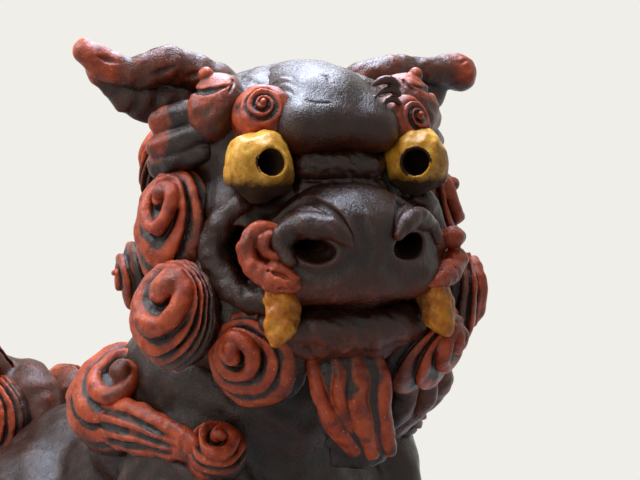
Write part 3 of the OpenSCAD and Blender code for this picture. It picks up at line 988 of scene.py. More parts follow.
@dataclass(frozen=True)
class OchreClay:
    """Yellow ochre clay, rolled, pricked and fired, with brown slip in the pricks.

    The clay shines softly on its crowns; a matt dark brown is mixed in where a piece is made darker: painted shade in
    the pupils and at the fangs' roots and inner sides, and towards the bottom of the eyes.

    Attributes:
        name: The finish's name.
        clay: Dark, middle and light tone of the clay.
        darkened_and_shaded: Dark tone mixed in where a piece is made darker: painted shade in the pupils and on the
            fangs, and towards the bottom of the eyes.
        pit: Tone of the slip in the pricks.
        sheen: Roughness of the clay.
        matt: Roughness where that dark tone is mixed in.
        ior: Index of refraction.
        gloss: Level of mirror light, low because the surface is porous.
        mottle_mm: Size of the clay's mottling.
        fine_mm: Size of the unevenness under a fingertip.
        prick_mm: Distance between pricks.
    """

    name: str = "ochre_clay_rubbed_slip"
    clay: tuple[str, str, str] = ("#a9741c", "#d09530", "#e2b452")
    darkened_and_shaded: str = "#2e1a0c"
    pit: str = "#5b3a14"
    sheen: float = 0.36
    matt: float = 0.85
    ior: float = 1.5
    gloss: float = 0.28
    mottle_mm: float = 5.0
    fine_mm: float = 0.9
    prick_mm: float = 1.6

    def material(self) -> bpy.types.Material:
        """Makes the finish.

        Returns:
            The material.
        """
        m, t, at = fresh(self.name)
        bare = put(t, "Attribute", out="Fac", attribute_name="bare")
        mottle, fine = (
            put(t, "TexNoise", {"Scale": per_metre(size), "Detail": detail, "Roughness": 0.6}, {"Vector": at}, "Fac")
            for size, detail in ((self.mottle_mm, 4.0), (self.fine_mm, 3.0)))
        prick = put(t, "TexVoronoi", {"Scale": per_metre(self.prick_mm)}, {"Vector": at}, "Distance")
        prick = put(t, "MapRange", {1: 0.1, 2: 0.2, 3: 1.0, 4: 0.0}, {0: prick})
        dark, mean, light = self.clay
        colour = put(t, "ValToRGB", links={0: mottle}, stops=((0.3, dark), (0.7, light), (0.5, mean)))
        low = put(t, "Math", {1: 0.6, 2: -0.3}, {0: fine}, operation="MULTIPLY_ADD")
        low = put(t, "Math", links={0: bare, 1: low}, operation="ADD")
        # Share of the dark tone: painted shade in the pupils and on the fangs, and the eyes' darker lower parts.
        toned = put(t, "MapRange", {1: 0.25, 2: 0.75, 3: 1.0, 4: 0.0}, {0: low})
        speck = put(t, "Math", {1: 0.6}, {0: prick}, operation="MULTIPLY")
        for code, share in ((self.darkened_and_shaded, toned), (self.pit, speck)):
            colour = put(t, "Mix", {7: linear(code)}, {0: share, 6: colour}, 2, data_type="RGBA")
        bump = put(t, "Bump", {"Strength": 0.45, "Distance": 0.4 * MM}, {"Height": fine})
        bump = put(t, "Bump", {"Strength": 0.4, "Distance": 0.3 * MM}, {"Height": prick, "Normal": bump}, invert=True)
        sheen = put(t, "MapRange", {3: self.sheen, 4: self.matt}, {0: toned})
        shader = put(t, "BsdfPrincipled", {"IOR": self.ior, "Specular IOR Level": self.gloss},
                     {"Base Color": colour, "Roughness": sheen, "Normal": bump})
        put(t, "OutputMaterial", links={"Surface": shader})
        return m


@dataclass
class Finishes:
    """The statue's finishes, made once.

    Attributes:
        clay: Slipped clay, wiped.
        ochre: Clay of the eyes.
        washed: Clay of the fangs, browner under an iron wash; its darker root and inner side are painted shade.
    """

    clay: bpy.types.Material = field(default_factory=lambda: WipedSlip().material())
    ochre: bpy.types.Material = field(default_factory=lambda: OchreClay().material())
    washed: bpy.types.Material = field(default_factory=lambda: OchreClay(
        "ochre_clay_iron_wash", ("#9a520c", "#c4761a", "#dd9c38")).material())


DARK = Wiping(0.0, 0.5, 2.2, 0.12)
RUBBED = Wiping(0.14, 0.7, 2.2, 0.2)
BARE = Wiping(0.68, 0.9, 1.8, 0.0, 0.45)
BEAD = Wiping(0.75, 0.5, 2.5)


@dataclass
class Group(ABC):
    """A sub-assembly of the statue.

    Attributes:
        finishes: The statue's finishes.
    """

    finishes: Finishes

    @abstractmethod
    def pieces(self) -> list[ClayPiece]:
        """Lists the pieces, each after what it is pressed onto."""

    def clay(self, node: str, form: Form, kneading: Kneading, place: Place, wiping: Wiping, grain: float,
             paint: Paint | None = None, slot: Slot = Slot.SLIP) -> ClayPiece:
        """Kneads a form to a piece of slipped clay.

        Args:
            node: The solid that the piece stands for.
            form: Its shape.
            kneading: Height and width of the fingers' marks, mm, and the seed that sets where they lie.
            place: The frame that the shape is drawn in.
            wiping: How the slip was wiped off it.
            grain: Size of its mesh's quads, mm.
            paint: What is added to the bare clay from place to place.
            slot: Its material slot.

        Returns:
            The piece.
        """
        return ClayPiece(node, Kneaded(form, *kneading), place, slot, self.finishes.clay, wiping, grain, paint)


@dataclass
class Head(Group):
    """The head's core, brow, bridge, snout and jaws.

    Attributes:
        seam: Width of the smeared seams of the core.
        eye: Middle of the right eye, in the head's frame.
        eye_r: Radius of an eye bead.
        pupil_r: Radius of the hole pushed into it.
        lip_r: Radius of the coil round a corner of the mouth.
    """

    seam: float = 6.0
    eye: Triple = (-29.0, -30.8, 29.0)
    eye_r: float = 12.0
    pupil_r: float = 4.3
    lip_r: float = 5.0

    def both(self, x: float, y: float, z: float) -> tuple[Triple, Triple]:
        """Gives a point and its mirror image."""
        return (-abs(x), y, z), (abs(x), y, z)

    def core(self) -> ClayPiece:
        """Shapes the head under its face and mane.

        Returns:
            The piece.
        """
        lumps = [c.lump() for c in (SKULL, CROWN, MANE, MUZZLE, JAW)]
        lumps += [c.lump(s) for c in (CHEEK, JOWL) for s in Side]
        sockets = [Lump(m, (13.4, 12.2, 13.4)) for m in self.both(*self.eye)]
        corners = [Lump(m, (8.5, 15.0, 10.0)) for m in self.both(35, -24, -1)]
        tools = (*sockets, *corners, *self.nostrils())
        form = Carved(Joined(tuple(lumps), self.seam), tools, 1.5)
        return self.clay("head_shell", form, (0.35, 14, 11), HEAD, DARK, 0.75)

    def brow(self) -> ClayPiece:
        """Shapes the slab over the eyes.

        Returns:
            The piece.
        """
        cracks = [((-14, -36, 51, 0.3), (-10, -37.6, 50.2, 0.5), (-6, -38.4, 50, 0.25)),
                  ((-5, -26, 59.4, 0.2), (-3, -28, 58.6, 0.5), (-3.8, -31, 57, 0.4), (-2, -32, 56.2, 0.2))]
        flames = [((-23.9, -26, 56.0, 1.5), (-20.3, -26, 58.0, 1.6), (-16.7, -26, 57.4, 1.2), (-13.5, -26, 55.3, 0.5)),
                  ((-23.2, -28, 53.4, 1.5), (-19.6, -28, 55.4, 1.6), (-16.8, -28, 54.4, 1.2), (-14.3, -28, 52.0, 0.5)),
                  ((-22.6, -30, 50.7, 1.3), (-19.7, -30, 52.4, 1.4), (-17.6, -30, 51.4, 1.0), (-16.1, -30, 49.7, 0.5)),
                  ((22.0, -30, 55.6, 1.5), (19.2, -30, 57.2, 1.9), (15.8, -30, 57.0, 1.6), (12.4, -30, 55.4, 0.6)),
                  ((22.4, -30, 52.6, 1.5), (20.0, -30, 54.0, 1.8), (16.8, -30, 53.6, 1.5), (13.8, -30, 51.8, 0.6)),
                  ((22.4, -30, 49.6, 1.4), (20.4, -30, 50.8, 1.6), (18.0, -30, 50.2, 1.3), (15.8, -30, 48.4, 0.6))]
        inwards = (0.37, 0.92, -0.10)
        strokes = tuple(drawn(BROW_SLAB, line, inwards) for line in cracks)
        locks = tuple(drawn(BROW_SLAB, line, inwards, 0.9) for line in flames)
        form = Joined((Carved(BROW_SLAB, strokes, 0.3), *locks), 0.4)
        return self.clay("brow_slab", form, (0.2, 24, 21), HEAD, DARK, 0.6,
                         lambda p: 0.08 * ease(46 - p[:, 2], 0, 10))

    def bridge(self) -> ClayPiece:
        """Shapes the two bars between the eyes.

        Returns:
            The piece.
        """
        upper = Coil(((-12.5, -31, 28.2, 5.0), (-6, -32.3, 28.4, 5.5), (6, -32.3, 28.2, 5.4), (12, -31, 27.8, 4.8)),
                     (1, 1, 0.95))
        lower = Coil(((-13, -30.5, 20.8, 4.3), (0, -33, 21, 4.6), (13, -30.5, 20.6, 4.2)), (1, 1, 0.95))
        return self.clay("bridge_bar", Joined((upper, lower), 0.6), (0.3, 8, 31), HEAD, DARK, 0.5)

    def muzzle(self) -> Form:
        """Gives the snout's mass before the nostrils are cut.

        Returns:
            The mass.
        """
        mass = [Lump((0, -38, 2.5), (31, 22, 16)), Lump((0, -49.5, -8), (25, 9, 8.5)), Lump((0, -36, 10), (22, 21, 13))]
        mass += [Lump(m, (9.5, 10, 8.5)) for m in self.both(21.5, -42.5, -8)]
        return Joined(tuple(mass), 7)

    def nostril(self, side: Side) -> tuple[Form, Form]:
        """Gives the scoop under a nostril's roll and the hole that runs up and back from it, drawn as on the right.

        Args:
            side: The statue's side.

        Returns:
            The scoop and the hole.
        """
        if side is Side.RIGHT:
            return (Lump((-19.0, -56.8, 2.6), (6.6, 5.6, 3.8), (0, 8, -20)),
                    Lump((-18.5, -47, 5.0), (5.2, 15, 3.4), (16, 0, 0)))
        return (Lump((-14.8, -57.2, 2.8), (6.8, 5.6, 4.2), (0, 6, -14)),
                Lump((-15.2, -47, 5.2), (5.6, 15, 3.8), (16, 0, 0)))

    def nostrils(self) -> tuple[Form, ...]:
        """Gives the hollows of both nostrils, which run through the snout into the core."""
        return (*self.nostril(Side.RIGHT), *(Brought(hole, Side.LEFT.of(STATUE)) for hole in self.nostril(Side.LEFT)))

    def snout(self) -> ClayPiece:
        """Shapes the snout with its nostrils and upper lip.

        Returns:
            The piece.
        """
        mass = self.muzzle()
        lids = tuple(drawn(mass, tuple((s * x, y, z, r) for x, y, z, r in (
            (29.5, -40, 8.5, 0.9), (27.6, -44, 15.4, 1.8), (21.8, -49, 18.4, 2.2), (15.2, -53, 17.2, 2.0),
            (10.6, -57, 12.4, 1.6), (7.6, -58.5, 7, 0.7))), (-0.3 * s, 0.92, -0.12), -0.3) for s in (-1, 1))
        creases = tuple(drawn(mass, line, (0.2, 0.95, 0.0), -1.7) for line in (
            ((-26, -50, -3.5, 1.8), (-18, -56, -6.2, 2.8), (-10, -58, -3.5, 2.6), (-6, -58, 1.0, 1.7)),
            ((-3, -56, 12, 1.7), (-1, -58, 5, 2.5), (-3, -59, -1.5, 1.7)),
            ((6, -58, -4, 1.7), (12, -58, -7.5, 2.6), (20, -54, -6.5, 1.7))))
        form = Carved(Carved(Carved(mass, creases, 3.0), self.nostrils(), 1.8), lids, 0.6)
        return self.clay("snout", form, (0.16, 16, 41), HEAD, DARK, 0.5,
                         lambda p: 0.14 * ease(-p[:, 2], 0, 12) * ease(-p[:, 1], 40, 50))

    def nostril_rim(self, side: Side) -> ClayPiece:
        """Shapes the roll over a nostril; the right one is longer and hooks down round the hole.

        Args:
            side: The statue's side.

        Returns:
            The piece.
        """
        if side is Side.RIGHT:
            line = ((-25.8, -50, -0.6, 2.8), (-27.4, -48, 4.8, 3.8), (-24.6, -50, 9.4, 4.5), (-19, -53, 10.8, 4.7),
                    (-14, -55, 9.8, 4.2), (-10.4, -57, 7.4, 2.9), (-7.4, -57.6, 4.6, 1.2))
        else:
            line = ((-27.6, -44, 3.0, 1.8), (-25.6, -46, 8.6, 2.8), (-21, -49, 11.0, 3.5), (-15.5, -53, 11.4, 3.7),
                    (-11, -55, 9.8, 3.0), (-8.2, -57, 6.6, 1.6))
        roll = drawn(self.muzzle(), line, (0.3, 0.92, -0.12), -1.3)
        form = Carved(roll, self.nostril(side)[:1], 0.8)
        return self.clay(side.named("nostril_rim"), form, (0.25, 9, side.seed(51)), side.of(HEAD), DARK, 0.45)

    def lip_roll(self, side: Side) -> ClayPiece:
        """Shapes the coil round a corner of the mouth.

        Args:
            side: The statue's side.

        Returns:
            The piece.
        """
        r = self.lip_r
        roll = Coil(((-33.5, -25, 15, r * 0.85), (-39, -21.5, 9.4, r), (-41.4, -20.5, 0, r * 1.04),
                     (-39.4, -24, -9, r * 1.06), (-34.4, -31.5, -14.6, r * 1.02), (-27.5, -41, -16.6, r * 0.85)))
        return self.clay(side.named("lip_roll"), roll, (0.35, 10, side.seed(61)), side.of(HEAD), DARK, 0.55)

    def lower_jaw(self) -> ClayPiece:
        """Shapes the lower lip and chin.

        Returns:
            The piece.
        """
        lip = Coil(((-27, -37, -24.5, 5.6), (-15, -45.5, -25.2, 6.4), (0, -48, -25.6, 6.6), (15, -45.5, -25.2, 6.4),
                    (27, -37, -24.5, 5.6)), (1, 1, 1.05))
        chin = Lump((0, -34, -30), (26, 15, 9.5))
        floor = Lump((0, -34, -14.5), (24, 15, 5.5))
        form = Carved(Joined((lip, chin), 3), (floor,), 1.2)
        return self.clay("lower_jaw", form, (0.35, 11, 71), HEAD, DARK, 0.55,
                         lambda p: 0.14 * ease(-p[:, 2], 20, 29))

    def tongue(self) -> ClayPiece:
        """Shapes the edge that shows between the lips."""
        roll = Coil(((-20, -39.5, -17.2, 1.8), (0, -44, -17.4, 2.2), (20, -39.5, -17.2, 1.8)), (1, 1, 0.8))
        return self.clay("tongue", roll, (0.35, 6, 81), HEAD, Wiping(0.16, 0.6), 0.5)

    def eye_bead(self, side: Side) -> ClayPiece:
        """Shapes an eye bead with the hole of its pupil.

        Args:
            side: The statue's side.

        Returns:
            The piece.
        """
        look = np.array((0.07, -0.98, 0.16) if side is Side.RIGHT else (0.46, -0.885, 0.05))
        look /= np.linalg.norm(look)
        e = np.asarray(self.eye)
        inner, outer = e - look * 4.5, e + look * 20
        hole = Coil(((*inner, self.pupil_r), (*outer, self.pupil_r * 1.12)), steps=1)
        r = self.eye_r if side is Side.RIGHT else self.eye_r * 0.94
        bead = Kneaded(Lump(self.eye, (r, r, r)), 0.4, 12, side.seed(91))
        form = Carved(bead, (hole,), 0.4)

        def darkened_and_shaded(p: Points) -> np.ndarray:
            """Darkens the bead towards its bottom, and paints shade inside the pupil's hole.

            Args:
                p: The points.

            Returns:
                What is added to the bare clay.
            """
            # Darker towards the bottom of the bead; inside the pupil's hole the dark is painted shade.
            low = ease(self.eye[2] - p[:, 2], 1.5, 10.5)
            rel = p - e
            inside = np.linalg.norm(rel - (rel @ look)[:, None] * look, axis=1) < self.pupil_r * 1.25
            return -1.0 * low - 2.0 * inside * ease(10.3 - rel @ look, 0.0, 0.8)

        return ClayPiece(side.named("eye"), form, side.of(HEAD), Slot.OCHRE, self.finishes.ochre, BEAD, 0.45, darkened_and_shaded)

    def fang(self, side: Side) -> ClayPiece:
        """Shapes a fang.

        Args:
            side: The statue's side.

        Returns:
            The piece.
        """
        tooth = Coil(((-25.8, -44.6, -7, 5.0), (-27, -47.6, -13, 6.0), (-28, -49.6, -18.5, 5.9),
                      (-29.2, -51.4, -23.5, 4.4), (-30, -52.4, -26.6, 2.8)), (1, 0.85, 1))
        # The fang is darkened at its root under the lip and on its inner side: painted shade.
        return ClayPiece(side.named("fang"), Kneaded(tooth, 0.4, 8, side.seed(101)), side.of(HEAD), Slot.OCHRE,
                         self.finishes.washed, BEAD, 0.45,
                         lambda p: -0.4 * ease(p[:, 2], -12, -6) - 0.45 * ease(p[:, 0], -26, -21.5))

    def moustache(self, side: Side) -> ClayPiece:
        """Shapes the curl beside a nostril: an open shell on the right, a ball over a leaf on the left.

        Args:
            side: The statue's side.

        Returns:
            The piece.
        """
        root = Lump((-30, -38, 1), (6.5, 6.5, 8))
        if side is Side.RIGHT:
            rim = Coil(((-28.8, -44.4, 9.0, 2.0), (-32.8, -44.2, 9.6, 2.7), (-36.6, -43, 6.2, 3.1),
                        (-37.4, -43, 0.6, 3.4), (-35.0, -46, -4.2, 3.8), (-30.6, -50, -7.2, 4.2),
                        (-26, -53, -8.4, 2.8), (-23.5, -54.4, -8.8, 1.0)))
            nub = Coil(((-31.4, -47.2, 7.0, 1.6), (-33.2, -47.0, 5.4, 2.3), (-33.0, -47.4, 2.6, 2.2),
                        (-31.0, -48.8, 1.2, 1.7), (-28.4, -50.8, 0.4, 1.0)))
            leaf = Coil(((-31.6, -48.6, -2.2, 1.2), (-28.4, -51.2, -3.6, 2.2), (-24.4, -53.6, -6.4, 1.4)))
            lines = (Coil(((-33, -51, -3.8, 0.6), (-28.5, -54.2, -6.0, 1.1), (-25, -55.8, -7.0, 0.4))),
                     Coil(((-31, -53.4, -8.8, 0.4), (-27.5, -55.6, -9.8, 0.9), (-24.5, -56, -9.8, 0.3))))
            form = Carved(Joined((Joined((rim, nub, leaf), 0.3), root), 0.8), lines, 0.3)
        else:
            ball = Lump((-37.4, -41.0, 3.4), (4.8, 4.6, 4.4))
            fold = Lump((-38.6, -41.4, -4), (4.8, 4.6, 4.0), (0, 20, 0))
            leaf = Coil(((-39, -42, -6.5, 3.4), (-33.2, -46.6, -8, 4.4), (-27.6, -50.6, -9.6, 3.2),
                         (-22.6, -53, -10.6, 1.0)))
            lines = (Coil(((-38.5, -45.5, -5.4, 0.5), (-34, -49.4, -6.6, 0.9), (-29, -52, -8.6, 0.4))),)
            form = Carved(Joined((Joined((ball, fold, leaf), 0.4), root), 0.8), lines, 0.3)
        return self.clay(side.named("moustache_curl"), form, (0.22, 8, 111), side.of(HEAD),
                         Wiping(0.62, 0.9, 1.6, 0.0, 0.6), 0.42, slot=Slot.WIPED)

    def ear(self, side: Side) -> ClayPiece:
        """Shapes an ear: a thick roll along its top over a drooping leaf, with tool cuts across.

        Args:
            side: The statue's side.

        Returns:
            The piece.
        """
        if side is Side.RIGHT:
            roll = Coil(((-75.4, 20, 67.4, 4.4), (-71.5, 18.6, 64.8, 5.2), (-66.5, 17, 61.8, 5.5), (-60.5, 15, 60, 5.6),
                         (-53, 13.6, 61.2, 6.4), (-45, 13.8, 62, 6.8), (-37, 15, 59.6, 7.4), (-28, 16.5, 55.5, 7.6)))
            tip = 0.0
        else:
            roll = Coil(((-70.2, 19, 59.6, 7.4), (-64, 18.4, 60.4, 6.6), (-57, 17.6, 60.6, 5.6), (-49, 16.6, 60.4, 5.6),
                         (-40, 16, 60, 6.6), (-28, 16.5, 56, 7.4)))
            tip = 2.0
        leaf = Coil(((-71.5 + 3 * tip, 21.6, 61 - tip, 3.4), (-66 + 2 * tip, 22, 56.6, 5.2), (-59, 21.6, 52.6, 7.0),
                     (-51, 21, 50.6, 8.2), (-42, 20, 50.4, 9.4), (-32, 19, 51.5, 10)), (1, 0.82, 1))
        cuts = (Coil(((-59.5, 7.6, 57.4, 0.6), (-53.5, 6.3, 59, 2.0), (-46.3, 6.6, 62, 0.8))),
                Coil(((-44.5, 7.2, 57.2, 0.6), (-40.5, 6.6, 58.4, 1.7), (-36.6, 7.4, 59.8, 0.7))),
                Coil(((-73, 14.2, 65.6, 0.4), (-69, 12.6, 64.2, 1.1), (-64.4, 10.6, 63.2, 0.4))),
                Coil(((-59, 14.5, 66.2, 0.5), (-52, 12.8, 68.2, 1.6), (-44, 12.4, 68.8, 0.5))),
                Coil(((-66, 27, 58, 0.5), (-54, 28.8, 56, 1.8), (-42, 29, 57, 0.8))))
        form = Carved(Joined((roll, leaf), 1.2), cuts, 0.4)

        def toned(p: Points) -> np.ndarray:
            """Bares the tip, and the front of the roll, above the leaf."""
            return (0.52 * ease(-p[:, 0], 60, 71) + 0.12 * ease(20 - p[:, 1], 5, 11)) * ease(p[:, 2], 54, 58)

        return self.clay(side.named("ear"), form, (0.35, 13, side.seed(121)), side.of(HEAD), Wiping(0.08, 0.65, 2.2),
                         0.55, toned)

    def pieces(self) -> list[ClayPiece]:
        """Lists the pieces of the head, each after what it is pressed onto.

        Returns:
            The pieces.
        """
        made = [self.core(), self.brow(), self.bridge(), self.snout(), self.lower_jaw(), self.tongue()]
        for side in Side:
            made += [self.nostril_rim(side), self.lip_roll(side), self.eye_bead(side), self.fang(side),
                     self.moustache(side), self.ear(side)]
        return made


@dataclass(frozen=True)
class CurlSeat:
    """A curl with its carrier and its place on it, for the statue's right side.

    Attributes:
        part: The piece's name without its side.
        carrier: What the curl is pressed onto.
        around: Angle round the carrier from its front, degrees.
        up: Angle up the carrier, degrees.
        curl: The curl's shape.
        bare: Bare clay on its ridges.
        far: How much darker its lower flank on the front side is made.
        locks: Strands that run from it, in the frame of its carrier.
        grain: Size of its mesh's quads, mm.
        tips: Bare clay that is added where it stands out most.
        cuts: Grooves pressed into it, in its own frame.
        tilt: Degrees by which it faces further up than its carrier.
        left: The seat on the statue's left, where it differs.
    """

    part: str
    carrier: Carrier
    around: float
    up: float
    curl: Curl
    bare: float = 0.68
    far: float = 0.45
    locks: tuple[Coil, ...] = ()
    grain: float = 0.5
    tips: float = 0.0
    cuts: tuple[Line, ...] = ()
    tilt: float = 0.0
    left: "CurlSeat | None" = None

    def on(self, side: Side) -> "CurlSeat":
        """Gives the seat as it is on one side."""
        return self.left if side is Side.LEFT and self.left else self

    def frame(self, place: Place) -> Place:
        """Gives the curl's own frame, where its carrier lies in a given one."""
        return self.carrier.seat(place, self.around, self.up, self.tilt)


# Strands that run back below an ear, and those under the left chin curl with the roll that backs them.
EAR_LOCKS = (Coil(((-40, -8, 46.5, 5.0), (-47, 0, 44.5, 5.4), (-52, 6, 42.0, 4.6))),
             Coil(((-40, -10, 39.5, 4.6), (-47, -2, 36.0, 5.2), (-52, 6, 34.0, 5.0))),
             Coil(((-41, -8, 33.0, 4.2), (-47.5, 0, 29.5, 4.8), (-51.5, 9, 27.5, 4.6))))
LEFT_LOCKS = (Coil(((-40, -6, -40, 5.0), (-52, -2, -54, 6.0), (-47, 8, -66, 5.4), (-44, 16, -74, 4.6))),
              Coil(((-38, -14, -44, 4.6), (-42, -10, -58, 5.4), (-38, 2, -68, 5.0), (-37, 12, -76, 4.4))),
              Coil(((-30, -18, -46, 4.6), (-32, -15, -58, 5.0), (-29, -6, -68, 4.8), (-29, 4, -76, 4.4))),
              Coil(((-36, -4, -46, 11.0), (-38, 0, -58, 12.0), (-34, 8, -68, 11.0), (-32, 14, -74, 9.0))))


@dataclass
class Mane(Group):
    """The curls of the mane, the shoulders, the haunches and the tail, and the tufts on the shoulders.

    Attributes:
        head_curls: Curls on both sides of the head.
        nape_curls: Curls in the middle behind it.
        body_curls: Curls on both sides of the body.
    """

    head_curls: tuple[CurlSeat, ...] = (
        CurlSeat("brow_curl", CROWN, -32.5, 18, Curl(
            11.4, 11.4, 1.0, (0.08, 0.1), (1.6, 4.2, 7.6), 20, 1.5, 1.5, 0, 0.6, 1.1, 0.35, 0.2), 0.6, 0.25, grain=0.4,
            left=CurlSeat("brow_curl", CROWN, -34, 11, Curl(
                11.0, 12.5, 1.0, (0.1, 0.1), (1.6, 4.2, 7.6), 20, 1.5, 1.5, 0, 0.6, 1.1, 0.35, 0.2), 0.6, 0.25,
                grain=0.4)),
        CurlSeat("temple_curl", CROWN, -60, 26, Curl(
            10.4, 10.4, 1.2, (-0.3, 0.55), (4.6, 8.6), 0, 2.5, 2.5, 0, 0.6, 0.0, 0.0), 0.5, 0.2, grain=0.45,
            cuts=(((-9.0, 5.5, 14, 0.5), (-6.5, 1.5, 14, 1.0), (-1.5, -1.0, 14, 1.4), (4.0, 0.8, 14, 1.1),
                   (7.2, 4.5, 14, 0.5)),
                  ((4.5, 8.8, 14, 0.4), (7.0, 6.0, 14, 0.9), (7.6, 1.5, 14, 0.4)))),
        CurlSeat("cheek_curl", MANE, -64, 7, Curl(
            16.6, 14.5, 1.36, (0.05, 0.56), (5.0, 9.6, 16.5, 24.0), 185, 2.9, 2.5, 1.25, wander=0.6, seed=3),
            grain=0.45),
        CurlSeat("jowl_curl", JOWL, -66, -5, Curl(
            18.5, 13.5, 1.0, (0.42, 0.5), (5.8, 13.2, 17.6, 21.0, 24.2, 27.2), 240, 3.2, 3.5, 1.3, depth=2.7, seed=4),
            grain=0.45, tilt=16, left=CurlSeat("jowl_curl", JOWL, -66, -5, Curl(
                17, 8.5, 1.05, (-0.45, 0.5), (5, 12, 18, 24, 29), 240, 3.0, 3.2, seed=4))),
        CurlSeat("chin_curl", JAW, -50, -26, Curl(
            17, 13.5, 1.0, (-0.26, 0.46), (4.2, 8.4, 13.0, 19.5, 25.0), 300, 2.6, 2.6, 1.2, seed=5),
            grain=0.45, tilt=30, left=CurlSeat("chin_curl", JAW, -50, -24, Curl(
                18.5, 15, 1.0, (0.1, 0.78), (4.2, 9.5, 15.5, 22, 28), 300, 2.6, 2.8, seed=5), locks=LEFT_LOCKS)),
        CurlSeat("ear_curl", CROWN, -88, 4, Curl(
            9.5, 8, 1.05, (-0.2, 0.3), (3.0, 9.0, 14.0), 40, 2.0, 2.0, 0, seed=6), 0.12, 0.3, EAR_LOCKS, tips=0.45),
        CurlSeat("mane_side_curl", MANE, -101, -13, Curl(
            14.2, 13, 1.05, (0.1, 0.3), (3.0, 10.0, 18.0), 60, 1.7, 1.7, 0, depth=1.5, seed=7), 0.5, 0.6),
        CurlSeat("mane_high_curl", MANE, -128, 30, Curl(15, 13, 1.1, start=340, seed=8), grain=0.55),
        CurlSeat("mane_low_curl", MANE, -138, -14, Curl(15, 13, 1.1, start=80, seed=9), grain=0.55))
    nape_curls: tuple[CurlSeat, ...] = (
        CurlSeat("crest_curl", MANE, 180, 50, Curl(15, 12, start=140, seed=10), grain=0.55),
        CurlSeat("nape_curl", MANE, 180, 10, Curl(15.75, 13, seed=11), grain=0.55))
    body_curls: tuple[CurlSeat, ...] = (
        CurlSeat("withers_curl", WITHERS, -82, 27, Curl(
            23.5, 17, 0.95, (0.38, 0.18), (6.4, 12.5, 20.0, 28.0), 117, 4.6, 2.9, 0.95, depth=2.8, wander=0.9,
            seed=12)),
        CurlSeat("shoulder_curl", SHOULDER, -20, 48, Curl(
            11, 11, 1.0, (0.0, 0.1), (3.6, 8.0, 11.6, 15.0), 200, 2.3, 2.2, 1.2, 0.5, 1.7, 0.6, 0.4, 13), grain=0.42),
        CurlSeat("haunch_curl", HAUNCH, -88, 20, Curl(
            18, 12, rings=(5.0, 11.5, 16.5, 20.5, 24), start=170, knob=3.2, roll=3.3, seed=14), grain=0.6),
        CurlSeat("tail_curl", TAIL_LOBE, -90, 0, Curl(
            19, 12, rings=(5.0, 12, 17.5, 22, 26), start=210, knob=3.2, roll=3.4, seed=15), grain=0.6))

    def pressed(self, seat: CurlSeat, place: Place, node: str) -> ClayPiece:
        """Presses a curl onto its carrier.

        Args:
            seat: The curl and its place.
            place: The frame of the carrier, mirrored for the left side.
            node: The solid that the curl stands for.

        Returns:
            The curl's piece.
        """
        curl = seat.curl
        roll = curl.clay_roll()
        form: Form = curl
        if seat.cuts:
            form = Carved(curl, tuple(drawn(curl, cut, (0, 0, -1)) for cut in seat.cuts), 0.4)
        if seat.locks:
            form = Joined((curl, *(Brought(lock, seat.frame(STATUE)) for lock in seat.locks)), 0.5)

        def slip(p: Points) -> np.ndarray:
            """Leaves slip in the channel, and makes the lower flank that faces the front darker.

            Args:
                p: The points.

            Returns:
                What is added to the bare clay.
            """
            _, full, way = curl.tooled(p)
            lower = ease(way, curl.radius * 0.75, curl.radius * 1.35)
            front = 0.45 + 0.55 * np.clip((p[:, 0] - 0.3 * p[:, 1]) / (0.8 * curl.radius), -1, 1)
            sunk = ease(-curl.dome(p), 0.1, 1.1) * (0.25 + 0.75 * ease(roll.gap(p), 0.0, 0.6))
            out = seat.tips * ease(p[:, 2], curl.height * 0.5, curl.height * 1.1)
            return 0.1 * full + out - 1.3 * sunk - 1.7 * seat.far * lower * front - 0.5 * ease(curl.dome(p), 2.5, 5.0)

        return self.clay(node, form, (0.22, 11, 200 + curl.seed), seat.frame(place), replace(BARE, base=seat.bare),
                         seat.grain, slip, Slot.WIPED)

    def tuft(self, side: Side) -> ClayPiece:
        """Shapes the leaf of hair over a shoulder, with the channels drawn along it.

        Args:
            side: The statue's side.

        Returns:
            The piece.
        """
        leaf = Coil(((-54.5, -20, 157.5, 8.4), (-56, -33, 158.5, 9.8), (-56, -48, 158, 8.8), (-55, -66, 156, 5.6)),
                    (0.62, 1, 1))
        strokes = (((-60, -17, 162.4, 0.5), (-60, -28, 163.8, 1.3), (-60, -44, 162.8, 1.3), (-60, -62, 158.6, 0.6)),
                   ((-60, -13.5, 157, 0.5), (-60, -28, 158.2, 1.4), (-60, -44, 158, 1.3), (-60, -62, 156, 0.6)),
                   ((-60, -16, 151.6, 0.5), (-60, -30, 152.6, 1.3), (-60, -44, 153.4, 1.2), (-60, -60, 153.6, 0.5)))
        channels = tuple(drawn(leaf, stroke, (1, 0, 0)) for stroke in strokes)
        return self.clay(side.named("shoulder_tuft"), Carved(leaf, channels, 1.6), (0.2, 11, 301), side.of(STATUE),
                         replace(BARE, base=0.7), 0.48,
                         lambda p: -1.2 * ease(-np.min([c.gap(p) for c in channels], 0), -0.5, 0.3), Slot.WIPED)

    def pieces(self) -> list[ClayPiece]:
        """Lists the curls and tufts.

        Returns:
            The pieces.
        """
        made = [self.pressed(seat.on(side), side.of(HEAD), side.named(seat.part))
                for seat in self.head_curls for side in Side]
        made += [self.pressed(seat, HEAD, seat.part) for seat in self.nape_curls]
        made += [self.pressed(seat, side.of(STATUE), side.named(seat.part))
                 for seat in self.body_curls for side in Side]
        return made + [self.tuft(side) for side in Side]


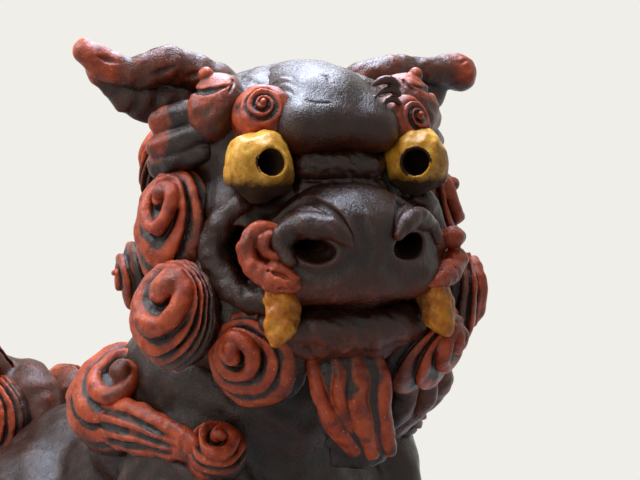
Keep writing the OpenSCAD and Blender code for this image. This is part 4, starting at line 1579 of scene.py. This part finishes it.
@dataclass
class Beard(Group):
    """The beard, a flat lock from the chin down over the chest, with rolled strands along it.

    Attributes:
        lock: The flat lock.
        strands: The rolled strands.
    """

    lock: Coil = Coil(((-1.0, -40.5, -33, 4.6), (-0.8, -43, -42, 5.2), (-0.2, -44, -52, 5.0), (1.6, -43, -62, 4.6),
                       (3.8, -40.5, -71, 3.8)), (2.6, 1, 1))
    strands: tuple[Coil, ...] = (
        Coil(((-14.0, -40.5, -33.5, 2.0), (-14.0, -43.4, -40.9, 2.5), (-12.4, -45.2, -48.6, 2.8),
              (-8.2, -46.2, -57.4, 3.0), (-0.4, -44.6, -67, 2.2))),
        Coil(((-7.4, -43, -33.9, 1.8), (-6.5, -46, -39.6, 2.4), (-7.3, -47.4, -46.2, 2.4), (-5.6, -47.4, -53.9, 2.0),
              (-2.6, -46.8, -59.6, 1.0))),
        Coil(((-0.4, -44, -34.9, 2.6), (0.6, -46.6, -42, 3.5), (-0.4, -47.4, -49.6, 3.8), (1.4, -47, -57.3, 3.7),
              (6.6, -44.4, -68.5, 2.6))),
        Coil(((8.4, -43.4, -36.5, 2.6), (10.0, -45.4, -43.7, 3.3), (9.6, -46, -52.3, 3.4), (10.8, -45, -60, 3.3),
              (14.0, -42, -69, 2.4))))

    def pieces(self) -> list[ClayPiece]:
        """Shapes the beard.

        Returns:
            The piece, alone in its list.
        """
        form = Joined((self.lock, *self.strands), 0.5)

        def slip(p: Points) -> np.ndarray:
            """Leaves slip between the strands and at the roots."""
            off = np.min([strand.gap(p) for strand in self.strands], 0)
            return -1.3 * ease(off, 0.1, 0.9) - 0.5 * ease(p[:, 2], -43, -35)

        return [self.clay("beard", form, (0.22, 10, 401), HEAD, replace(BARE, base=0.84), 0.45, slip, Slot.WIPED)]


@dataclass
class Body(Group):
    """The torso, legs, paws and tail.

    Attributes:
        wall: Thickness of the torso's clay.
        leg_out: Distance of a leg from the middle plane.
        front_y: Place of the front legs.
        hind_y: Place of the hind legs.
        paw: Width, length and height of a paw.
        toe_r: Radius of a toe.
    """

    wall: float = 10.0
    leg_out: float = 45.0
    front_y: float = -62.0
    hind_y: float = 74.0
    paw: Triple = (52.0, 56.0, 27.0)
    toe_r: float = 9.0

    def torso(self) -> ClayPiece:
        """Shapes the hollow torso, open under the belly.

        Returns:
            The piece.
        """
        mass = [c.lump() for c in (NECK, CHEST, WITHERS, BARREL, RUMP)]
        mass += [c.lump(s) for c in (SHOULDER, HAUNCH) for s in Side]
        inner = [Lump(c.middle, tuple(np.asarray(c.half) - self.wall)) for c in (CHEST, BARREL, RUMP)]
        mouth = Coil(((0, 0, 40, 22), (0, 40, 40, 22)), (1, 1, 3), 1)
        form = Carved(Joined(tuple(mass), 5), (Joined(tuple(inner), 5), mouth), 2)
        return self.clay("torso_shell", form, (0.5, 22, 501), STATUE, DARK, 1.1)

    def leg(self, pair: Pair, side: Side) -> ClayPiece:
        """Shapes a leg.

        Args:
            pair: The pair that it belongs to.
            side: The statue's side.

        Returns:
            The piece.
        """
        x = -self.leg_out
        if pair is Pair.FRONT:
            y, seed = self.front_y, 513
            line = ((x + 3, y + 5, 100, 24), (x, y - 2, 55, 23.5), (x, y, 25, 21.5))
        else:
            y, seed = self.hind_y, 511
            line = ((x + 3, y - 8, 100, 22), (x, y + 10, 50, 20.5), (x, y, 23.5, 20))
        return self.clay(side.named(f"{pair.value}_leg"), Coil(line), (0.4, 18, seed), side.of(STATUE), DARK, 1.0)

    def foot(self, pair: Pair, side: Side) -> ClayPiece:
        """Shapes a paw with its toes.

        Args:
            pair: The pair that it belongs to.
            side: The statue's side.

        Returns:
            The piece.
        """
        w, l, h = self.paw
        leg_y, seed = (self.front_y, 523) if pair is Pair.FRONT else (self.hind_y, 521)
        y = leg_y - l * 0.2
        lumps = [Lump((-self.leg_out, y, h * 0.4), (w / 2, l / 2, h * 0.6))]
        for i in (-1.5, -0.5, 0.5, 1.5):
            reach = y - l * (0.36 - 0.035 * i * i)
            lumps.append(Lump((i * w * 0.22 - self.leg_out, reach, self.toe_r),
                              (self.toe_r * 0.82, self.toe_r * 1.5, self.toe_r * 1.3)))
        form = Footed(Kneaded(Joined(tuple(lumps), 1.6), 0.35, 14, seed))
        return ClayPiece(side.named(f"{pair.value}_paw"), form, side.of(STATUE), Slot.SLIP, self.finishes.clay,
                         Wiping(0.0, 0.6, 2.6), 0.9)

    def tail(self) -> ClayPiece:
        """Shapes the tail with the grooves drawn up it.

        Returns:
            The piece.
        """
        root = np.array([0.0, 96.0, 116.0])
        bends = ((0, 0, 0, 15.3), (-4, 18, 15.4, 17), (-17, 24, 32.6, 15.3), (-33, 24, 59.5, 11), (-40, 34, 96, 4.2))
        flame = Coil(tuple((*(root + b[:3]), b[3]) for b in bends), (0.92, 1, 1))
        folds = [Coil(tuple((*(root + b[:3] + np.array([ax * b[3] * 0.92, ay * b[3], 2.0])), r)
                            for b, r in zip(bends[1:], (0.8, 1.9, 1.6, 0.5))))
                 for ax, ay in ((-0.95, -0.3), (-0.6, 0.8), (0.75, 0.65), (0.7, -0.7), (-0.1, -1.0))]
        form = Carved(Joined((flame, TAIL_LOBE.lump()), 4), tuple(folds), 0.6)
        return self.clay("tail", form, (0.35, 15, 531), STATUE, RUBBED, 0.8)

    def pieces(self) -> list[ClayPiece]:
        """Lists the pieces of the body.

        Returns:
            The pieces.
        """
        made = [self.torso(), self.tail()]
        for side in Side:
            for pair in Pair:
                made += [self.leg(pair, side), self.foot(pair, side)]
        return made


@dataclass(frozen=True)
class MattPaper:
    """Pale paper, pressed from pulp and left uncoated: its faint tooth takes the light without a gleam.

    Attributes:
        name: The finish's name.
        tones: Dark and light tone of the tooth.
        rough: Roughness.
        tooth_mm: Size of the tooth.
    """

    name: str = "matt_paper_floor"
    tones: tuple[str, str] = ("#cfccc6", "#d6d3cd")
    rough: float = 0.9
    tooth_mm: float = 2.0

    def material(self) -> bpy.types.Material:
        """Makes the finish.

        Returns:
            The material.
        """
        m, t, at = fresh(self.name)
        tooth = put(t, "TexNoise", {"Scale": per_metre(self.tooth_mm), "Detail": 3.0}, {"Vector": at}, "Fac")
        tone = put(t, "ValToRGB", links={0: tooth}, stops=tuple(zip((0.3, 0.7), self.tones)))
        shader = put(t, "BsdfPrincipled", {"Roughness": self.rough}, {"Base Color": tone})
        put(t, "OutputMaterial", links={"Surface": shader})
        return m


@dataclass(frozen=True)
class SoftWindow:
    """A plain soft lamp with the shape of a window.

    Attributes:
        name: The lamp's name.
        at: Its place, mm.
        aim: The place that it faces, mm.
        wide: Its width, mm.
        long: Its length, mm.
        watts: Its power.
        code: Its colour.
    """

    name: str
    at: Triple
    aim: Triple
    wide: float
    long: float
    watts: float
    code: str


@dataclass
class Studio:
    """Floor, light and camera.

    Attributes:
        windows: The soft lamps: one overhead, one behind, one on each side of the camera.
        fill: Colour of the light from all round.
        fill_level: Its strength.
        backdrop: Colour of the studio's pale backdrop.
        camera_at: Place of the camera, mm.
        azimuth: Where the camera stands round the statue, degrees from its front.
        elevation: How high it looks down, degrees.
        lens: Focal length, mm.
        sensor: Width of the sensor, mm.
        floor_r: Radius of the floor, mm.
        floor_sides: Sides of the floor's rim.
    """

    windows: tuple[SoftWindow, ...] = (
        SoftWindow("overhead_window", (20, -10, 605), (-30, -85, 220), 150, 300, 3.8, "#dfe9ff"),
        SoftWindow("back_window", (185, 110, 560), (-10, -60, 240), 190, 190, 1.5, "#dfe9ff"),
        SoftWindow("left_window", (-200, 110, 470), (-40, -50, 190), 200, 200, 1.3, "#f4f6ff"),
        SoftWindow("side_window", (-760, -330, 430), (-10, -60, 190), 500, 500, 1.7, "#fff3e4"))
    fill: str = "#d4cdc6"
    fill_level: float = 0.12
    backdrop: str = "#f0eee8"
    camera_at: Triple = (-398.3, -473.3, 284.5)
    azimuth: float = -45.0
    elevation: float = 6.0
    lens: float = 87.5
    sensor: float = 36.0
    floor_r: float = 450.0
    floor_sides: int = 96

    def floor(self) -> None:
        """Lays the pale floor."""
        r = self.floor_r * MM
        angles = np.linspace(0, 2 * math.pi, self.floor_sides, endpoint=False)
        mesh = bpy.data.meshes.new("floor")
        mesh.from_pydata([(r * math.cos(a), r * math.sin(a), 0.0) for a in angles], [], [list(range(self.floor_sides))])
        mesh.materials.append(MattPaper().material())
        floor = bpy.data.objects.new("floor", mesh)
        bpy.context.scene.collection.objects.link(floor)

    def light(self) -> None:
        """Hangs the soft lamps and sets the pale surroundings."""
        for window in self.windows:
            lamp = bpy.data.lights.new(window.name, "AREA")
            lamp.shape, lamp.energy = "RECTANGLE", window.watts
            lamp.size, lamp.size_y = window.wide * MM, window.long * MM
            lamp.color = linear(window.code)[:3]
            holder = bpy.data.objects.new(window.name, lamp)
            at = np.asarray(window.at, float)
            back = at - np.asarray(window.aim, float)
            holder.matrix_world = self.looking(at, back / np.linalg.norm(back))
            bpy.context.scene.collection.objects.link(holder)
        world = bpy.data.worlds.new("pale_studio")
        bpy.context.scene.world = world
        world.use_nodes = True
        t = world.node_tree
        t.nodes.clear()
        # The backdrop is what is seen, also in a gleam; the fill light is weaker, so that the floor keeps its tone.
        seen = put(t, "LightPath", out="Is Camera Ray")
        rays = seen.node.outputs
        for kind in ("Is Glossy Ray", "Is Transmission Ray"):
            seen = put(t, "Math", links={0: seen, 1: rays[kind]}, operation="MAXIMUM")
        fill, drop = (put(t, "Background", {"Color": linear(code), "Strength": level})
                      for code, level in ((self.fill, self.fill_level), (self.backdrop, 1.0)))
        mix = put(t, "MixShader", links={0: seen, 1: fill, 2: drop})
        put(t, "OutputWorld", links={"Surface": mix})

    @staticmethod
    def looking(at: np.ndarray, back: np.ndarray) -> Matrix:
        """Builds the frame of a lamp or camera.

        Args:
            at: Its place, mm.
            back: Direction from what it looks at to itself.

        Returns:
            The frame, in metres.
        """
        right = np.cross([0.0, 0.0, 1.0], back)
        right /= np.linalg.norm(right)
        up = np.cross(back, right)
        rows = [[right[k], up[k], back[k], at[k] * MM] for k in range(3)]
        return Matrix(rows + [[0, 0, 0, 1]])

    def camera(self) -> None:
        """Sets the camera."""
        a, e = math.radians(self.azimuth), math.radians(self.elevation)
        back = np.array([math.sin(a) * math.cos(e), -math.cos(a) * math.cos(e), math.sin(e)])
        data = bpy.data.cameras.new("camera")
        data.lens, data.sensor_width, data.clip_start = self.lens, self.sensor, 0.01
        camera = bpy.data.objects.new("camera", data)
        camera.matrix_world = self.looking(np.asarray(self.camera_at), back)
        bpy.context.scene.collection.objects.link(camera)
        bpy.context.scene.camera = camera

    def set_up(self) -> None:
        """Sets up floor, light and camera."""
        bpy.context.scene.view_settings.view_transform = "Standard"
        self.floor()
        self.light()
        self.camera()


def main() -> None:
    """Builds the statue piece by piece and sets up the studio."""
    logging.basicConfig(level=logging.INFO, format="%(message)s")
    Studio().set_up()
    finishes = Finishes()
    for group in (Head(finishes), Mane(finishes), Beard(finishes), Body(finishes)):
        for piece in group.pieces():
            piece.build()
    bpy.context.view_layer.update()


if __name__ == "__main__":
    main()
